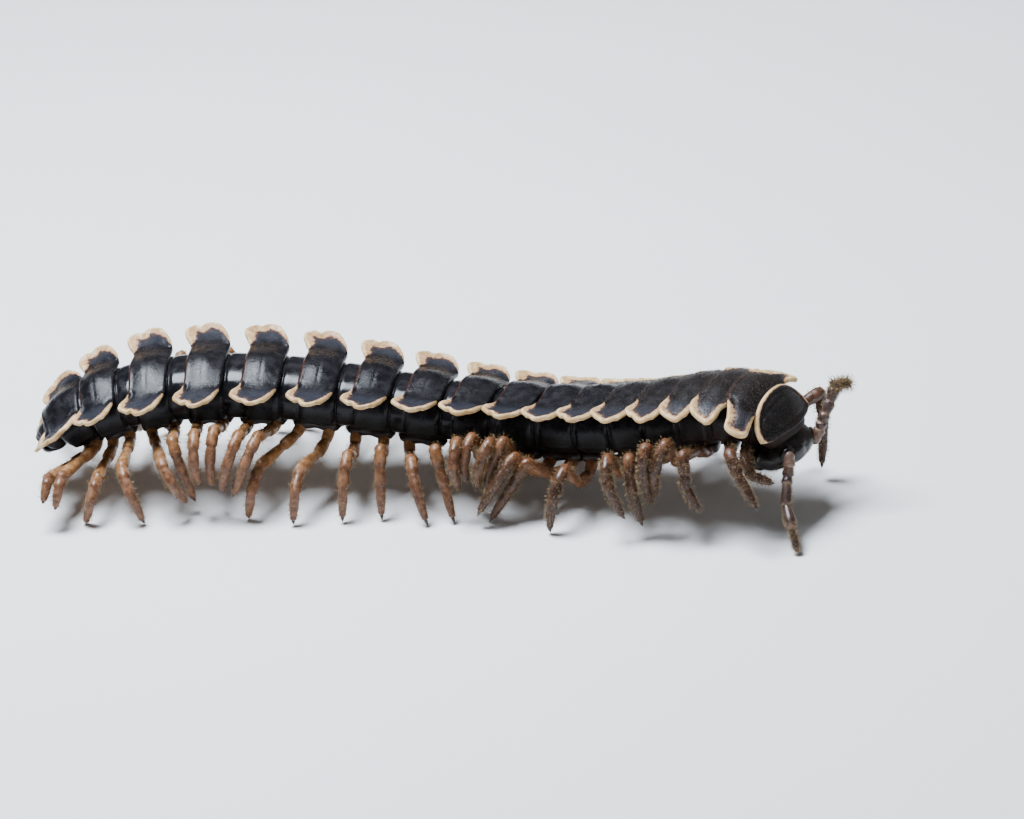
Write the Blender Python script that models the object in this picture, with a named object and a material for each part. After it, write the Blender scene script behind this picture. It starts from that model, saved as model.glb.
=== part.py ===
# A flat-backed millipede of the order Polydesmida, life size, walking with its head bent down.
# Metres, +Z up, heading roughly along +X, with the floor at z = 0.
# The body is a row of hard rings. Each has a smooth front collar and a wider hind part whose
# sides run out into flat keels. The head hangs under the collum, the shield behind it.

import math

import bpy
import bmesh
from mathutils import Matrix, Vector

MM = 0.001

# Driving sizes of a full ring at mid-body
BODY_WIDTH = 8.5 * MM
TRUNK_HALF_WIDTH = 2.4 * MM
BELLY_DEPTH = 2.75 * MM
BACK_HEIGHT = 0.92 * MM
COLLAR_HEIGHT = 0.45 * MM
KEEL_THICKNESS = 0.5 * MM
KEEL_LIFT = 0.5 * MM
RING_GAP = 0.32 * MM
PLATE_GAP = 0.32 * MM

# The rings, from the one behind the collum to the last before the telson
FIRST_RING = 2
LAST_RING = 19
MIDDLE_RING = 10
MIDDLE_PLACE = Vector((-1.75, -9.12, 5.34)) * MM
TO_ORIGIN = Vector((4.49, 10.45, 0.0)) * MM
LONE_PAIR_RINGS = (2, 3, 4)
GONOPOD_RING = 7

# The pose: ring, heading to the right of +X, slope and twist in degrees, ring spacing
POSE = (
    (2, 28.0, -18.5, 2.0, 1.53 * MM),
    (4, 25.2, 10.2, -4.0, 2.0 * MM),
    (7, 26.2, 7.3, -8.5, 2.22 * MM),
    (10, 18.0, -4.8, -6.5, 2.85 * MM),
    (13, 9.7, -7.5, 5.0, 3.3 * MM),
    (16, 6.4, 8.4, 11.2, 3.27 * MM),
    (18, 6.3, 37.7, 9.0, 2.3 * MM),
    (21, 5.4, 130.0, 4.0, 0.1 * MM),
)
SPINE_STEP = 0.05

# Rings that are narrower than the full ones: width over the keels, and the trunk's size
KEEL_SHARE = {2: 0.91, 3: 0.91, 4: 0.94, 5: 0.98, 17: 0.93, 18: 0.82, 19: 0.38}
TRUNK_SHARE = {2: 0.82, 3: 0.88, 4: 0.94, 17: 0.95, 18: 0.82, 19: 0.48}
# How far the keels droop: 1 in front, where the back is one arch, 0 from mid-body on
DROOP = {2: 1.0, 3: 0.95, 4: 0.85, 5: 0.7, 6: 0.55, 7: 0.4, 8: 0.3, 9: 0.2, 10: 0.1}
DROOPED_BACK = 1.25 * MM

# Stations along a ring, front to back: place, keel reach from trunk (0) to tip (1), back
# height share, and how far the keel's hind corner is swept behind the station
RING_STATIONS = (
    (0.00, -1.0, 0.0, 0.0),
    (0.17, -1.0, 0.0, 0.0),
    (0.24, 0.10, 0.80, 0.0),
    (0.42, 0.70, 0.97, 0.0),
    (0.62, 1.00, 1.0, 0.0),
    (0.77, 0.92, 1.0, 0.10 * MM),
    (1.00, 0.86, 0.96, 0.42 * MM),
)
# From mid-body on the rings stand apart: the collar reaches out in front of a shorter plate
FIRST_REAR_RING = 9
REAR_RING_STATIONS = (
    (-0.13, -1.0, 0.0, 0.0),
    (0.11, -1.0, 0.0, 0.0),
    (0.16, 0.10, 0.75, 0.0),
    (0.26, 0.52, 0.95, 0.0),
    (0.42, 0.92, 1.0, 0.0),
    (0.58, 1.00, 1.0, 0.0),
    (0.72, 0.88, 1.0, 0.06 * MM),
    (0.87, 0.66, 1.0, 0.42 * MM),
)
# The second ring has a low, short collar, because the collum lies over it
SECOND_RING_STATIONS = (
    (0.33, -1.0, 0.0, 0.0),
    (0.39, -1.0, 0.0, 0.0),
    (0.45, 0.25, 0.52, 0.0),
    (0.56, 0.75, 0.84, 0.0),
    (0.70, 1.00, 0.96, 0.0),
    (0.82, 0.95, 1.0, 0.05 * MM),
    (1.00, 0.86, 0.97, 0.20 * MM),
)
SECOND_COLLAR_HEIGHT = 0.30 * MM
UPPER_SHARES = (1.0, 0.90, 0.72, 0.50, 0.25, 0.0)
# The side of a ring below its keel, from the keel's root: share of the trunk's width, of its depth
KEEL_ROOT_DEPTH = 0.78 * MM
BELLY = ((1.0, 0.45), (0.86, 0.74), (0.48, 0.95))
# The back's cross-section: where the flat middle ends, and how sharply it and the arch fall
FLAT_SHARE = 0.45
FLAT_POWER = 2.0
ARCH_POWER = 1.8
# The keel begins just outside the trunk, and a collar is a little thinner than the trunk
KEEL_ROOT = 1.05
COLLAR_SHARE = 0.96
HUB_DEPTH = 0.35 * MM
# Points of a section that bound the trunk, and those that bound each keel's hind face
TRUNK_LOOP = (3, 4, 5, 6, 7, 12, 13, 14, 15, 16, 17, 18, 19, 20)
KEEL_FANS = ((20, (21, 0, 1, 2, 3)), (12, (7, 8, 9, 10, 11)))

# Legs: article lengths from coxa to claw, and radii along them
UPPER_LEG = (0.7 * MM, 1.2 * MM, 2.3 * MM)
LOWER_LEG = (0.9 * MM, 1.1 * MM, 1.75 * MM, 0.4 * MM)
HIP_RADIUS = 0.33 * MM
THIGH_RADIUS = 0.36 * MM
SHIN_RADIUS = 0.31 * MM
TARSUS_RADIUS = 0.26 * MM
CLAW_RADIUS = 0.12 * MM
FOOT_FLAT = 0.17 * MM
LEG_SIDES = 6
FRONT_HIP = 0.22
HIND_HIP = -0.30
LONE_HIP = 0.0
HIP_OUT = 0.85 * MM
PLATE_THICKNESS = 0.5 * MM
PLATE_MARGIN = 0.30 * MM
PLATE_INNER = 0.17 * MM
PLATE_OUTER = 1.30 * MM

# The walking wave: legs are on the ground from a landing to the next lift
LANDINGS = (6.6, 10.75, 16.75)
LIFTS = (2.0, 8.25, 13.75, 19.2)
STANCE_REACH = (2.3 * MM, -2.7 * MM)
SWING_REACH = (-1.9 * MM, 2.3 * MM)
STANCE_FOOT_OUT = 6.1 * MM
SWING_FOOT_OUT = 4.4 * MM
SWING_LIFT = 2.2 * MM
AXIS_HEIGHT = 6.4 * MM
MOST_BEND = 2.6
FRONT_ARCH = 0.25 * MM
KNEE_OUT = 4.6 * MM
STANCE_KNEE_HEIGHT = 3.2 * MM
SWING_KNEE_BELOW = 1.35 * MM
KNEE_FOLLOW = 0.45
STAGGER = 0.28 * MM

# The first three pairs are held up and forward: knee, shin and foot as forward, outward, height
FRONT_LEGS = {
    (2, -1): ((0.1, 3.0, 4.35), (0.55, 3.35, 3.75), (1.9, 3.2, 3.4)),
    (2, 1): ((1.5, 4.5, 5.5), (1.45, 4.7, 3.1), (1.35, 4.4, 0.7)),
    (3, -1): ((1.2, 4.2, 5.3), (1.8, 4.7, 4.4), (3.15, 5.3, 2.6)),
    (3, 1): ((0.7, 4.3, 4.6), (1.0, 4.9, 3.6), (1.9, 5.6, 1.6)),
    (4, -1): ((0.35, 4.5, 5.05), (0.6, 4.9, 3.3), (1.5, 5.1, 1.9)),
    (4, 1): ((0.3, 4.5, 4.6), (0.3, 5.0, 2.9), (0.5, 5.3, 1.2)),
}

# How the right legs differ from an even gait, by ring and front (0) or hind (1) leg: knee ahead
# and up, foot ahead, out and up, in millimetres
RIGHT_LEG_SHIFTS = {
    (5, 0): (0.6, 0.3, -0.6, 0.0, 0.0), (5, 1): (0.5, 0.5, -0.15, -0.6, -0.15),
    (6, 0): (0.1, 0.0, 0.2, 0.4, -0.7), (6, 1): (-0.2, 0.6, 0.0, 0.0, 0.5),
    (7, 1): (0.0, 0.2, -0.6, -0.1, 0.0),
    (8, 0): (-0.7, 0.3, -2.1, -0.4, 0.0), (8, 1): (0.0, 0.4, -0.85, 0.5, 0.35),
    (9, 0): (0.0, 0.5, -0.7, -0.4, -0.2), (9, 1): (0.2, 0.3, -0.6, -0.2, 0.0),
    (10, 0): (-0.2, 0.3, -1.1, 0.0, 0.25), (10, 1): (0.0, 0.5, -0.8, 0.0, 0.5),
    (11, 0): (-0.4, 0.8, -0.45, 0.0, 0.0), (11, 1): (0.0, 0.1, 0.35, 0.3, 0.0),
    (12, 0): (0.0, 0.7, -0.3, -0.2, 0.0), (12, 1): (0.0, 0.3, -0.15, 0.0, 0.0),
    (13, 0): (-0.9, -0.4, -0.7, 0.3, 0.0), (13, 1): (-1.3, -0.3, -1.0, -0.7, 0.0),
    (14, 0): (0.2, 1.3, -0.3, 0.0, 1.2), (14, 1): (0.5, 0.5, -0.1, 0.0, 0.0),
    (15, 0): (0.3, 0.3, 0.1, 0.0, -0.6), (15, 1): (0.6, 0.3, 0.4, 0.0, -0.35),
    (16, 0): (0.4, 0.0, 0.9, 0.0, -1.9), (16, 1): (0.9, -0.3, 1.3, 0.0, -0.4),
    (17, 0): (-0.3, -0.1, -0.4, -0.3, 0.0), (17, 1): (0.0, -0.8, -1.5, -0.9, 0.0),
    (18, 0): (-0.5, -0.4, -1.1, 0.0, 1.3), (18, 1): (0.0, 0.0, 0.1, 0.0, 1.7),
}

# Head and collum stand in a frame of their own: forward, left and up from the middle between
# the collum's two side lobes
HEAD_HEADING = 32.6
COLLUM_PLACE = Vector((15.24, -16.93, 5.40)) * MM
COLLUM_SLOPE = 57.3
COLLUM_HALF_WIDTH = 2.9 * MM
COLLUM_HIND = 2.0 * MM
COLLUM_DOME = 0.75 * MM
COLLUM_THICKNESS = 0.45 * MM
COLLUM_SQUARENESS = 2.1
# The front corners are rounded off from this share of the half-width on
CORNER_START = 0.6
CORNER_CUT = 0.3 * MM
COLLUM_SLICES = (-1.0, -0.93, -0.75, -0.5, -0.25, 0.0, 0.25, 0.5, 0.75, 0.93, 1.0)
COLLUM_TOP = (0.0, 0.3, 0.65, 1.0)
COLLUM_UNDER = (0.96, 0.65, 0.3, 0.04)
LOBE_HIND = -0.26 * MM
LOBE_FRONT = 0.23 * MM
NECK_CENTRE = (-0.30, 0.55)
NECK_RADII = (0.55 * MM, 1.5 * MM, 0.72 * MM)

# Head sections from the crown to the lip: front point, hind point, half-width
HEAD_SECTIONS = (
    ((0.45, -0.42), (-0.40, -0.62), 1.10),
    ((0.92, -0.64), (-0.85, -0.85), 1.66),
    ((1.08, -1.08), (-1.20, -1.15), 1.92),
    ((0.98, -1.55), (-1.50, -1.45), 1.92),
    ((0.55, -1.98), (-1.66, -1.75), 1.72),
    ((-0.05, -2.35), (-1.72, -2.05), 1.36),
    ((-0.62, -2.60), (-1.65, -2.38), 0.92),
)
HEAD_SIDES = 16
SOCKET_PLACE = (0.62, 1.36, -1.14)
SOCKET_RADIUS = 0.40 * MM
SOCKET_HEIGHT = 0.42 * MM
MOUTH_SECTIONS = (
    ((-1.88, -1.46), (-1.98, -1.52), 0.62),
    ((-1.94, -1.80), (-2.10, -1.84), 0.80),
    ((-1.98, -2.16), (-2.16, -2.20), 0.80),
    ((-1.96, -2.46), (-2.08, -2.50), 0.52),
)
MOUTH_SIDES = 12

# Antennae: joints from the socket to the tip as forward, left, up
ANTENNA_RIGHT = (
    (1.35, -1.72, -1.24), (1.22, -1.84, -1.55), (1.00, -1.97, -2.05), (0.86, -2.22, -2.42),
    (1.13, -2.90, -3.36), (1.82, -3.72, -4.09), (2.00, -3.95, -4.13), (2.61, -4.58, -5.07),
)
ANTENNA_LEFT = (
    (1.32, 1.62, -1.20), (1.34, 1.74, -0.74), (1.34, 1.84, -0.38), (1.37, 2.06, 0.05),
    (1.36, 2.55, 0.57), (1.38, 3.02, 1.24), (1.40, 3.16, 1.41), (2.05, 3.58, 1.43),
)
ANTENNA_NECK = 0.26 * MM
ANTENNA_BEAD = 0.35 * MM
ANTENNA_TIP = 0.27 * MM
ANTENNA_SIDES = 8

# The telson: place past the last ring, half-width, height above and below the keel plane
TELSON_SECTIONS = (
    (0.00, 0.90, 0.40, 1.00),
    (0.30, 0.88, 0.42, 0.95),
    (0.70, 0.60, 0.34, 0.72),
    (1.05, 0.34, 0.22, 0.45),
    (1.25, 0.24, 0.10, 0.34),
)
TELSON_START = 19.62
TELSON_SCALE = 0.45
TELSON_DROP = 0.25
TELSON_SIDES = 16

# The gonopods' plate (outward, up) and hooks (place ahead of it, outward, down, radius)
GONOPOD_PLATE = ((-0.75, 0.0), (0.75, 0.0), (0.7, -0.4), (-0.7, -0.4))
GONOPOD_HALF_LENGTH = 0.14
GONOPOD_HOOK = (
    (0.00, 0.40, 0.20, 0.24),
    (0.00, 0.42, 0.60, 0.25),
    (0.12, 0.34, 0.85, 0.18),
    (0.30, 0.30, 0.90, 0.08),
)


def clear_scene():
    for item in list(bpy.data.objects):
        bpy.data.objects.remove(item, do_unlink=True)


def material(name, colour, roughness):
    shade = bpy.data.materials.new(name)
    shade.use_nodes = True
    shader = shade.node_tree.nodes["Principled BSDF"]
    shader.inputs["Base Color"].default_value = (*colour, 1.0)
    shader.inputs["Roughness"].default_value = roughness
    shader.inputs["Metallic"].default_value = 0.0
    return shade


def pose_value(column, place):
    """A smooth curve through one column of POSE, read at a ring number."""
    rows = POSE
    last = len(rows) - 1
    index = 0
    while index < last - 1 and place > rows[index + 1][0]:
        index += 1
    start, end = rows[index], rows[index + 1]
    before = rows[max(index - 1, 0)]
    after = rows[min(index + 2, last)]
    span = end[0] - start[0]
    share = min(max((place - start[0]) / span, -0.5), 1.0)
    slope_in = (end[column] - before[column]) / max(end[0] - before[0], 1) * span
    slope_out = (after[column] - start[column]) / max(after[0] - start[0], 1) * span
    square, cube = share ** 2, share ** 3
    return ((2 * cube - 3 * square + 1) * start[column] + (cube - 2 * square + share) * slope_in
            + (3 * square - 2 * cube) * end[column] + (cube - square) * slope_out)


def axes_at(place):
    """Forward, left and up of the body at a ring number, which may lie between two rings."""
    heading = math.radians(pose_value(1, place))
    slope = math.radians(pose_value(2, place))
    twist = math.radians(pose_value(3, place))
    forward = Vector((math.cos(heading) * math.cos(slope),
                      -math.sin(heading) * math.cos(slope), math.sin(slope)))
    level = Vector((math.sin(heading), math.cos(heading), 0.0))
    upright = forward.cross(level)
    left = level * math.cos(twist) + upright * math.sin(twist)
    return forward, left, forward.cross(left)


def spine_points():
    """Places along the body's axis at keel level, from ring 1 to the tail, by small steps."""
    steps_ahead = round((MIDDLE_RING - 1) / SPINE_STEP)
    steps_behind = round((POSE[-1][0] - MIDDLE_RING) / SPINE_STEP)
    points = {0: MIDDLE_PLACE + TO_ORIGIN}
    for step in range(1, steps_ahead + 1):
        place = MIDDLE_RING - (step - 0.5) * SPINE_STEP
        stride = axes_at(place)[0] * pose_value(4, place) * SPINE_STEP
        points[-step] = points[-step + 1] + stride
    for step in range(1, steps_behind + 1):
        place = MIDDLE_RING + (step - 0.5) * SPINE_STEP
        stride = axes_at(place)[0] * pose_value(4, place) * SPINE_STEP
        points[step] = points[step - 1] - stride
    return points


def spine_point(place):
    steps = (place - MIDDLE_RING) / SPINE_STEP
    low = math.floor(steps)
    return SPINE[low].lerp(SPINE.get(low + 1, SPINE[low]), steps - low)


def body_point(place, out, height, back=0.0):
    """A point given in the body's own frame at a ring number."""
    forward, left, up = axes_at(place)
    return spine_point(place) + left * out + up * height - forward * back


def head_axes():
    heading = math.radians(HEAD_HEADING)
    forward = Vector((math.cos(heading), -math.sin(heading), 0.0))
    left = Vector((math.sin(heading), math.cos(heading), 0.0))
    return forward, left, Vector((0.0, 0.0, 1.0))


def head_point(forward_mm, left_mm, up_mm):
    forward, left, up = head_axes()
    offset = forward * forward_mm + left * left_mm + up * up_mm
    return COLLUM_PLACE + TO_ORIGIN + offset * MM


def fan(mesh, hub, ring):
    for corner, following in zip(ring, ring[1:]):
        mesh.faces.new((hub, corner, following))


def loft(sections, centres, parted=False):
    """A closed triangle mesh through rings of points, with a fan of triangles at each end.

    On a parted end the trunk and the two swept keels have fans of their own.
    """
    mesh = bmesh.new()
    rings = [[mesh.verts.new(point) for point in section] for section in sections]
    count = len(rings[0])
    for low, high in zip(rings, rings[1:]):
        for side in range(count):
            following = (side + 1) % count
            mesh.faces.new((low[side], low[following], high[following]))
            mesh.faces.new((low[side], high[following], high[side]))
    for ring, centre in ((rings[0], centres[0]), (rings[-1], centres[1])):
        bounds = [ring[corner] for corner in TRUNK_LOOP] if parted else ring
        fan(mesh, mesh.verts.new(centre), bounds + bounds[:1])
        if parted:
            for hub, corners in KEEL_FANS:
                fan(mesh, ring[hub], [ring[corner] for corner in corners])
    bmesh.ops.recalc_face_normals(mesh, faces=mesh.faces)
    return mesh


def add_object(name, mesh, shade):
    data = bpy.data.meshes.new(name)
    mesh.to_mesh(data)
    mesh.free()
    data.shade_smooth()
    data.set_sharp_from_angle(angle=math.radians(40))
    data.materials.append(shade)
    item = bpy.data.objects.new(name, data)
    bpy.context.scene.collection.objects.link(item)
    return item


def join_pieces(name, meshes, shade):
    """One closed body made of several closed pieces by a single Boolean union."""
    pieces = [add_object(f"{name}_piece_{index}", mesh, shade) for index, mesh in enumerate(meshes)]
    group = bpy.data.collections.new(name + "_pieces")
    bpy.context.scene.collection.children.link(group)
    for piece in pieces[1:]:
        group.objects.link(piece)
    union = pieces[0].modifiers.new("union", "BOOLEAN")
    union.operation = "UNION"
    union.operand_type = "COLLECTION"
    union.collection = group
    union.solver = "EXACT"
    shape = bpy.data.meshes.new_from_object(pieces[0].evaluated_get(
        bpy.context.evaluated_depsgraph_get()))
    for piece in pieces:
        bpy.data.objects.remove(piece, do_unlink=True)
    bpy.data.collections.remove(group)
    return add_object(name, largest_body(shape), shade)


def largest_body(shape):
    """The largest closed surface of a mesh, as a triangulated bmesh."""
    mesh = bmesh.new()
    mesh.from_mesh(shape)
    bmesh.ops.triangulate(mesh, faces=mesh.faces)
    left_over = set(mesh.faces)
    groups = []
    while left_over:
        group, edge_of_group = set(), [left_over.pop()]
        while edge_of_group:
            face = edge_of_group.pop()
            group.add(face)
            for edge in face.edges:
                for other in edge.link_faces:
                    if other in left_over:
                        left_over.remove(other)
                        edge_of_group.append(other)
        groups.append(group)
    groups.sort(key=len)
    for group in groups[:-1]:
        bmesh.ops.delete(mesh, geom=list(group), context="FACES")
    loose = [vert for vert in mesh.verts if not vert.link_faces]
    bmesh.ops.delete(mesh, geom=loose, context="VERTS")
    return mesh


def oval_section(half_width, top, bottom):
    """Points of a collar: an oval, from the left side over the top and back underneath."""
    centre = (top - bottom) / 2
    half_height = (top + bottom) / 2
    upper = 2 * len(UPPER_SHARES) - 2
    angles = [math.pi * step / upper for step in range(upper + 1)]
    angles += [math.pi * (1 + (step + 1) / (upper + 2)) for step in range(upper + 1)]
    return [(half_width * math.cos(angle), centre + half_height * math.sin(angle))
            for angle in angles]


def back_profile(share, back, droop):
    """Height of the back over the keel plane at a share of the way out to the keel's tip."""
    flat = math.exp(-(share / FLAT_SHARE) ** FLAT_POWER)
    arch = 1.0 - share ** ARCH_POWER
    rim = KEEL_LIFT * share ** 2 * (1.0 - droop)
    return back * ((1.0 - droop) * flat + droop * arch) + rim


def keel_section(reach, trunk, depth, back, droop):
    """Points of a ring with keels, in the same order as the collar's."""
    top = [(reach * share, back_profile(share, back, droop)) for share in UPPER_SHARES]
    right_top = [(-out, height) for out, height in reversed(top[:-1])]
    tip_height = top[0][1]
    root = min(trunk * KEEL_ROOT, reach * 0.96)
    under = [(reach * 0.985, tip_height - KEEL_THICKNESS), (root, -KEEL_ROOT_DEPTH)]
    under += [(trunk * width, -depth * down) for width, down in BELLY]
    right_under = [(-out, height) for out, height in under]
    return top + right_top + right_under + [(0.0, -depth)] + under[::-1]


def ring_sizes(ring):
    droop = DROOP.get(ring, 0.0)
    trunk_share = TRUNK_SHARE.get(ring, 1.0)
    half_width = BODY_WIDTH / 2 * KEEL_SHARE.get(ring, 1.0)
    back = (BACK_HEIGHT + (DROOPED_BACK - BACK_HEIGHT) * droop) * min(trunk_share + 0.1, 1.0)
    return half_width, TRUNK_HALF_WIDTH * trunk_share, BELLY_DEPTH * trunk_share, back, droop


def ring_spacing(ring):
    return (spine_point(ring - 0.5) - spine_point(ring + 0.5)).length


def make_ring(ring, shade):
    half_width, trunk, depth, back, droop = ring_sizes(ring)
    margin = RING_GAP / 2 / ring_spacing(ring)
    second = ring == FIRST_RING
    stations = RING_STATIONS
    if second:
        stations = SECOND_RING_STATIONS
    elif ring == FIRST_REAR_RING:
        stations = RING_STATIONS[:1] + REAR_RING_STATIONS[1:]
    elif ring > FIRST_REAR_RING:
        stations = REAR_RING_STATIONS
    collar = SECOND_COLLAR_HEIGHT if second else COLLAR_HEIGHT
    sections = []
    for along, reach, rise, sweep in stations:
        place = ring - 0.5 + margin + along * (1.0 - 2 * margin)
        if reach < 0:
            outline = oval_section(trunk * COLLAR_SHARE, collar, depth * COLLAR_SHARE)
        else:
            width = trunk + (half_width - trunk) * reach
            width = max(width, trunk * (KEEL_ROOT + 0.03))
            outline = keel_section(width, trunk, depth, back * rise, droop)
        section = []
        for out, height in outline:
            past_root = max(abs(out) - trunk * KEEL_ROOT, 0.0)
            behind = sweep * past_root / (half_width - trunk)
            section.append(body_point(place, out, height, behind))
        sections.append(section)
    first, last = [ring - 0.5 + margin + stations[end][0] * (1.0 - 2 * margin) for end in (0, -1)]
    hubs = (body_point(first, 0.0, -HUB_DEPTH), body_point(last, 0.0, -HUB_DEPTH))
    return add_object(f"ring_{ring:02d}", loft(sections, hubs, parted=True), shade)


def shield_section(side):
    """One lengthwise slice through the collum, at a share of its half-width from the middle."""
    slope = math.radians(COLLUM_SLOPE)
    forward, left, up = head_axes()
    along = forward * math.cos(slope) - up * math.sin(slope)
    normal = forward * math.sin(slope) + up * math.cos(slope)
    middle = COLLUM_PLACE + TO_ORIGIN + left * (COLLUM_HALF_WIDTH * side)
    fullness = 1.0 - abs(side) ** COLLUM_SQUARENESS
    hind = -COLLUM_HIND * fullness ** 0.5 + LOBE_HIND
    past = max(abs(side) - CORNER_START, 0.0) / (1.0 - CORNER_START)
    front = LOBE_FRONT - CORNER_CUT * past ** 2
    points = []
    for shares, inset in ((COLLUM_TOP, 0.0), (COLLUM_UNDER, COLLUM_THICKNESS)):
        for share in shares:
            rise = COLLUM_DOME * fullness ** 0.8 * (0.8 + 0.8 * share * (1 - share)) - inset
            points.append(middle + along * (hind + (front - hind) * share) + normal * rise)
    return points


def average(points):
    return sum(points, Vector()) / len(points)


def make_collum(shade):
    slices = [shield_section(side) for side in COLLUM_SLICES]
    shield = loft(slices, (average(slices[0]), average(slices[-1])))
    neck = bmesh.new()
    bmesh.ops.create_uvsphere(neck, u_segments=12, v_segments=8, radius=1.0)
    forward, left, up = head_axes()
    slope = math.radians(COLLUM_SLOPE)
    normal = forward * math.sin(slope) + up * math.cos(slope)
    along = forward * math.cos(slope) - up * math.sin(slope)
    turn = Matrix((normal, left, along)).transposed().to_4x4()
    stretch = Matrix.Diagonal((*NECK_RADII, 1.0))
    place = Matrix.Translation(head_point(NECK_CENTRE[0], 0.0, NECK_CENTRE[1]))
    bmesh.ops.transform(neck, matrix=place @ turn @ stretch, verts=neck.verts)
    return join_pieces("collum", [shield, neck], shade)


def oval_lump(rows, sides):
    """A lump through ovals that stand across the head, each from its front to its hind point."""
    sections = []
    for front, hind, half_width in rows:
        start = Vector((front[0], 0.0, front[1]))
        end = Vector((hind[0], 0.0, hind[1]))
        middle, half = (start + end) / 2, (start - end) / 2
        section = []
        for step in range(sides):
            angle = 2 * math.pi * step / sides
            flat = middle + half * math.cos(angle) + Vector((0, half_width * math.sin(angle), 0))
            section.append(head_point(*flat))
        sections.append(section)
    return loft(sections, (average(sections[0]), average(sections[-1])))


def make_head(shade):
    pieces = [oval_lump(HEAD_SECTIONS, HEAD_SIDES)]
    forward, left, up = head_axes()
    for side in (-1, 1):
        boss = bmesh.new()
        bmesh.ops.create_cone(boss, segments=10, radius1=SOCKET_RADIUS * 1.15,
                              radius2=SOCKET_RADIUS, depth=SOCKET_HEIGHT, cap_ends=True)
        aim = (forward + left * 0.45 * side - up * 0.1).normalized()
        turn = aim.to_track_quat("Z", "Y").to_matrix().to_4x4()
        place = Matrix.Translation(head_point(SOCKET_PLACE[0], SOCKET_PLACE[1] * side,
                                              SOCKET_PLACE[2]))
        bmesh.ops.transform(boss, matrix=place @ turn, verts=boss.verts)
        pieces.append(boss)
    return join_pieces("head", pieces, shade)


def tube(points, radii, sides, first_up, end_normal=None):
    """A round tube along points; the last ring may stand square to a given direction."""
    sections = []
    side_way = first_up
    for index, point in enumerate(points):
        ahead = points[min(index + 1, len(points) - 1)]
        behind = points[max(index - 1, 0)]
        way = (ahead - behind).normalized()
        if end_normal is not None and index == len(points) - 1:
            way = end_normal
        side_way = (side_way - way * side_way.dot(way)).normalized()
        other = way.cross(side_way)
        ring = []
        for step in range(sides):
            angle = 2 * math.pi * step / sides
            ring.append(point + (side_way * math.cos(angle) + other * math.sin(angle))
                        * radii[index])
        sections.append(ring)
    return loft(sections, (points[0], points[-1]))


def make_antenna(name, joints, shade):
    points, radii = [], []
    corners = [head_point(*joint) for joint in joints]
    for start, end in zip(corners, corners[1:]):
        points += [start, start.lerp(end, 0.7)]
        radii += [ANTENNA_NECK, ANTENNA_BEAD]
    points.append(corners[-1])
    radii.append(ANTENNA_TIP)
    return add_object(name, tube(points, radii, ANTENNA_SIDES, head_axes()[0]), shade)


def make_telson(shade):
    sections = []
    for along, half_width, top, bottom in TELSON_SECTIONS:
        place = TELSON_START + along * TELSON_SCALE
        section = []
        for step in range(TELSON_SIDES):
            angle = 2 * math.pi * step / TELSON_SIDES
            height = top if math.sin(angle) > 0 else bottom
            section.append(body_point(place, half_width * MM * math.cos(angle),
                                      (height * math.sin(angle) - TELSON_DROP) * MM))
        sections.append(section)
    return add_object("telson", loft(sections, (average(sections[0]), average(sections[-1]))),
                      shade)


def arc_points(start, end, lengths, bulge):
    """Joints along a bent limb that fills its whole length between two points."""
    total = sum(lengths)
    chord = (end - start).length
    bend = min(math.sqrt(24 * max(1 - chord / total, 0.0)), MOST_BEND)
    way = (end - start).normalized()
    bulge = (bulge - way * bulge.dot(way)).normalized()
    points, travelled = [], 0.0
    for length in lengths:
        travelled += length / total
        if bend < 0.01:
            points.append(start.lerp(end, travelled))
            continue
        radius = chord / (2 * math.sin(bend / 2))
        angle = bend * (travelled - 0.5)
        across = radius * math.sin(angle) + chord / 2
        rise = radius * (math.cos(angle) - math.cos(bend / 2))
        points.append(start + way * across + bulge * rise)
    return points


def ground_frame(place):
    """The body's forward and left, turned level, and the ground point under its axis."""
    _, left, _ = axes_at(place)
    left = Vector((left.x, left.y, 0.0)).normalized()
    forward = Vector((left.y, -left.x, 0.0))
    point = spine_point(place)
    return forward, left, Vector((point.x, point.y, 0.0))


def walking_phase(place):
    """Whether a leg at a ring number is lifted, and how far it is through that stroke."""
    landing = max([mark for mark in LANDINGS if mark <= place], default=-1.0)
    lift = max([mark for mark in LIFTS if mark <= place], default=-1.0)
    if landing > lift:
        following = min(mark for mark in LIFTS if mark > place)
        return False, (place - landing) / (following - landing)
    following = min([mark for mark in LANDINGS if mark > place], default=place + 1)
    return True, (place - lift) / (following - lift)


def leg_targets(ring, place, side, hind_leg):
    """Knee and foot of a leg, and whether the foot is on the ground."""
    forward, left, under = ground_frame(place)
    axis_height = spine_point(place).z
    lifted, stroke = walking_phase(place)
    reach_start, reach_end = SWING_REACH if lifted else STANCE_REACH
    reach = reach_start + (reach_end - reach_start) * stroke
    lift = math.sin(math.pi * stroke) ** 0.6 if lifted else 0.0
    stagger = STAGGER * (1 if hind_leg else -1) * lift
    foot_out = STANCE_FOOT_OUT + (SWING_FOOT_OUT - STANCE_FOOT_OUT) * lift + stagger
    foot = under + forward * reach + left * side * foot_out
    foot.z = SWING_LIFT * lift * axis_height / AXIS_HEIGHT
    knee = under + forward * reach * KNEE_FOLLOW + left * side * (KNEE_OUT + stagger)
    tilt = axes_at(place)[1].z * side * KNEE_OUT
    high_knee = axis_height + tilt - SWING_KNEE_BELOW
    low_knee = min(STANCE_KNEE_HEIGHT, high_knee)
    knee.z = low_knee + (high_knee - low_knee) * lift
    shift = RIGHT_LEG_SHIFTS.get((ring, int(hind_leg))) if side < 0 else None
    if shift:
        knee_ahead, knee_up, foot_ahead, foot_out, foot_up = (value * MM for value in shift)
        knee += forward * knee_ahead + Vector((0, 0, knee_up))
        foot += forward * foot_ahead + left * side * foot_out
        foot.z = max(foot.z + foot_up, 0.0)
    return knee, foot, not lifted


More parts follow.
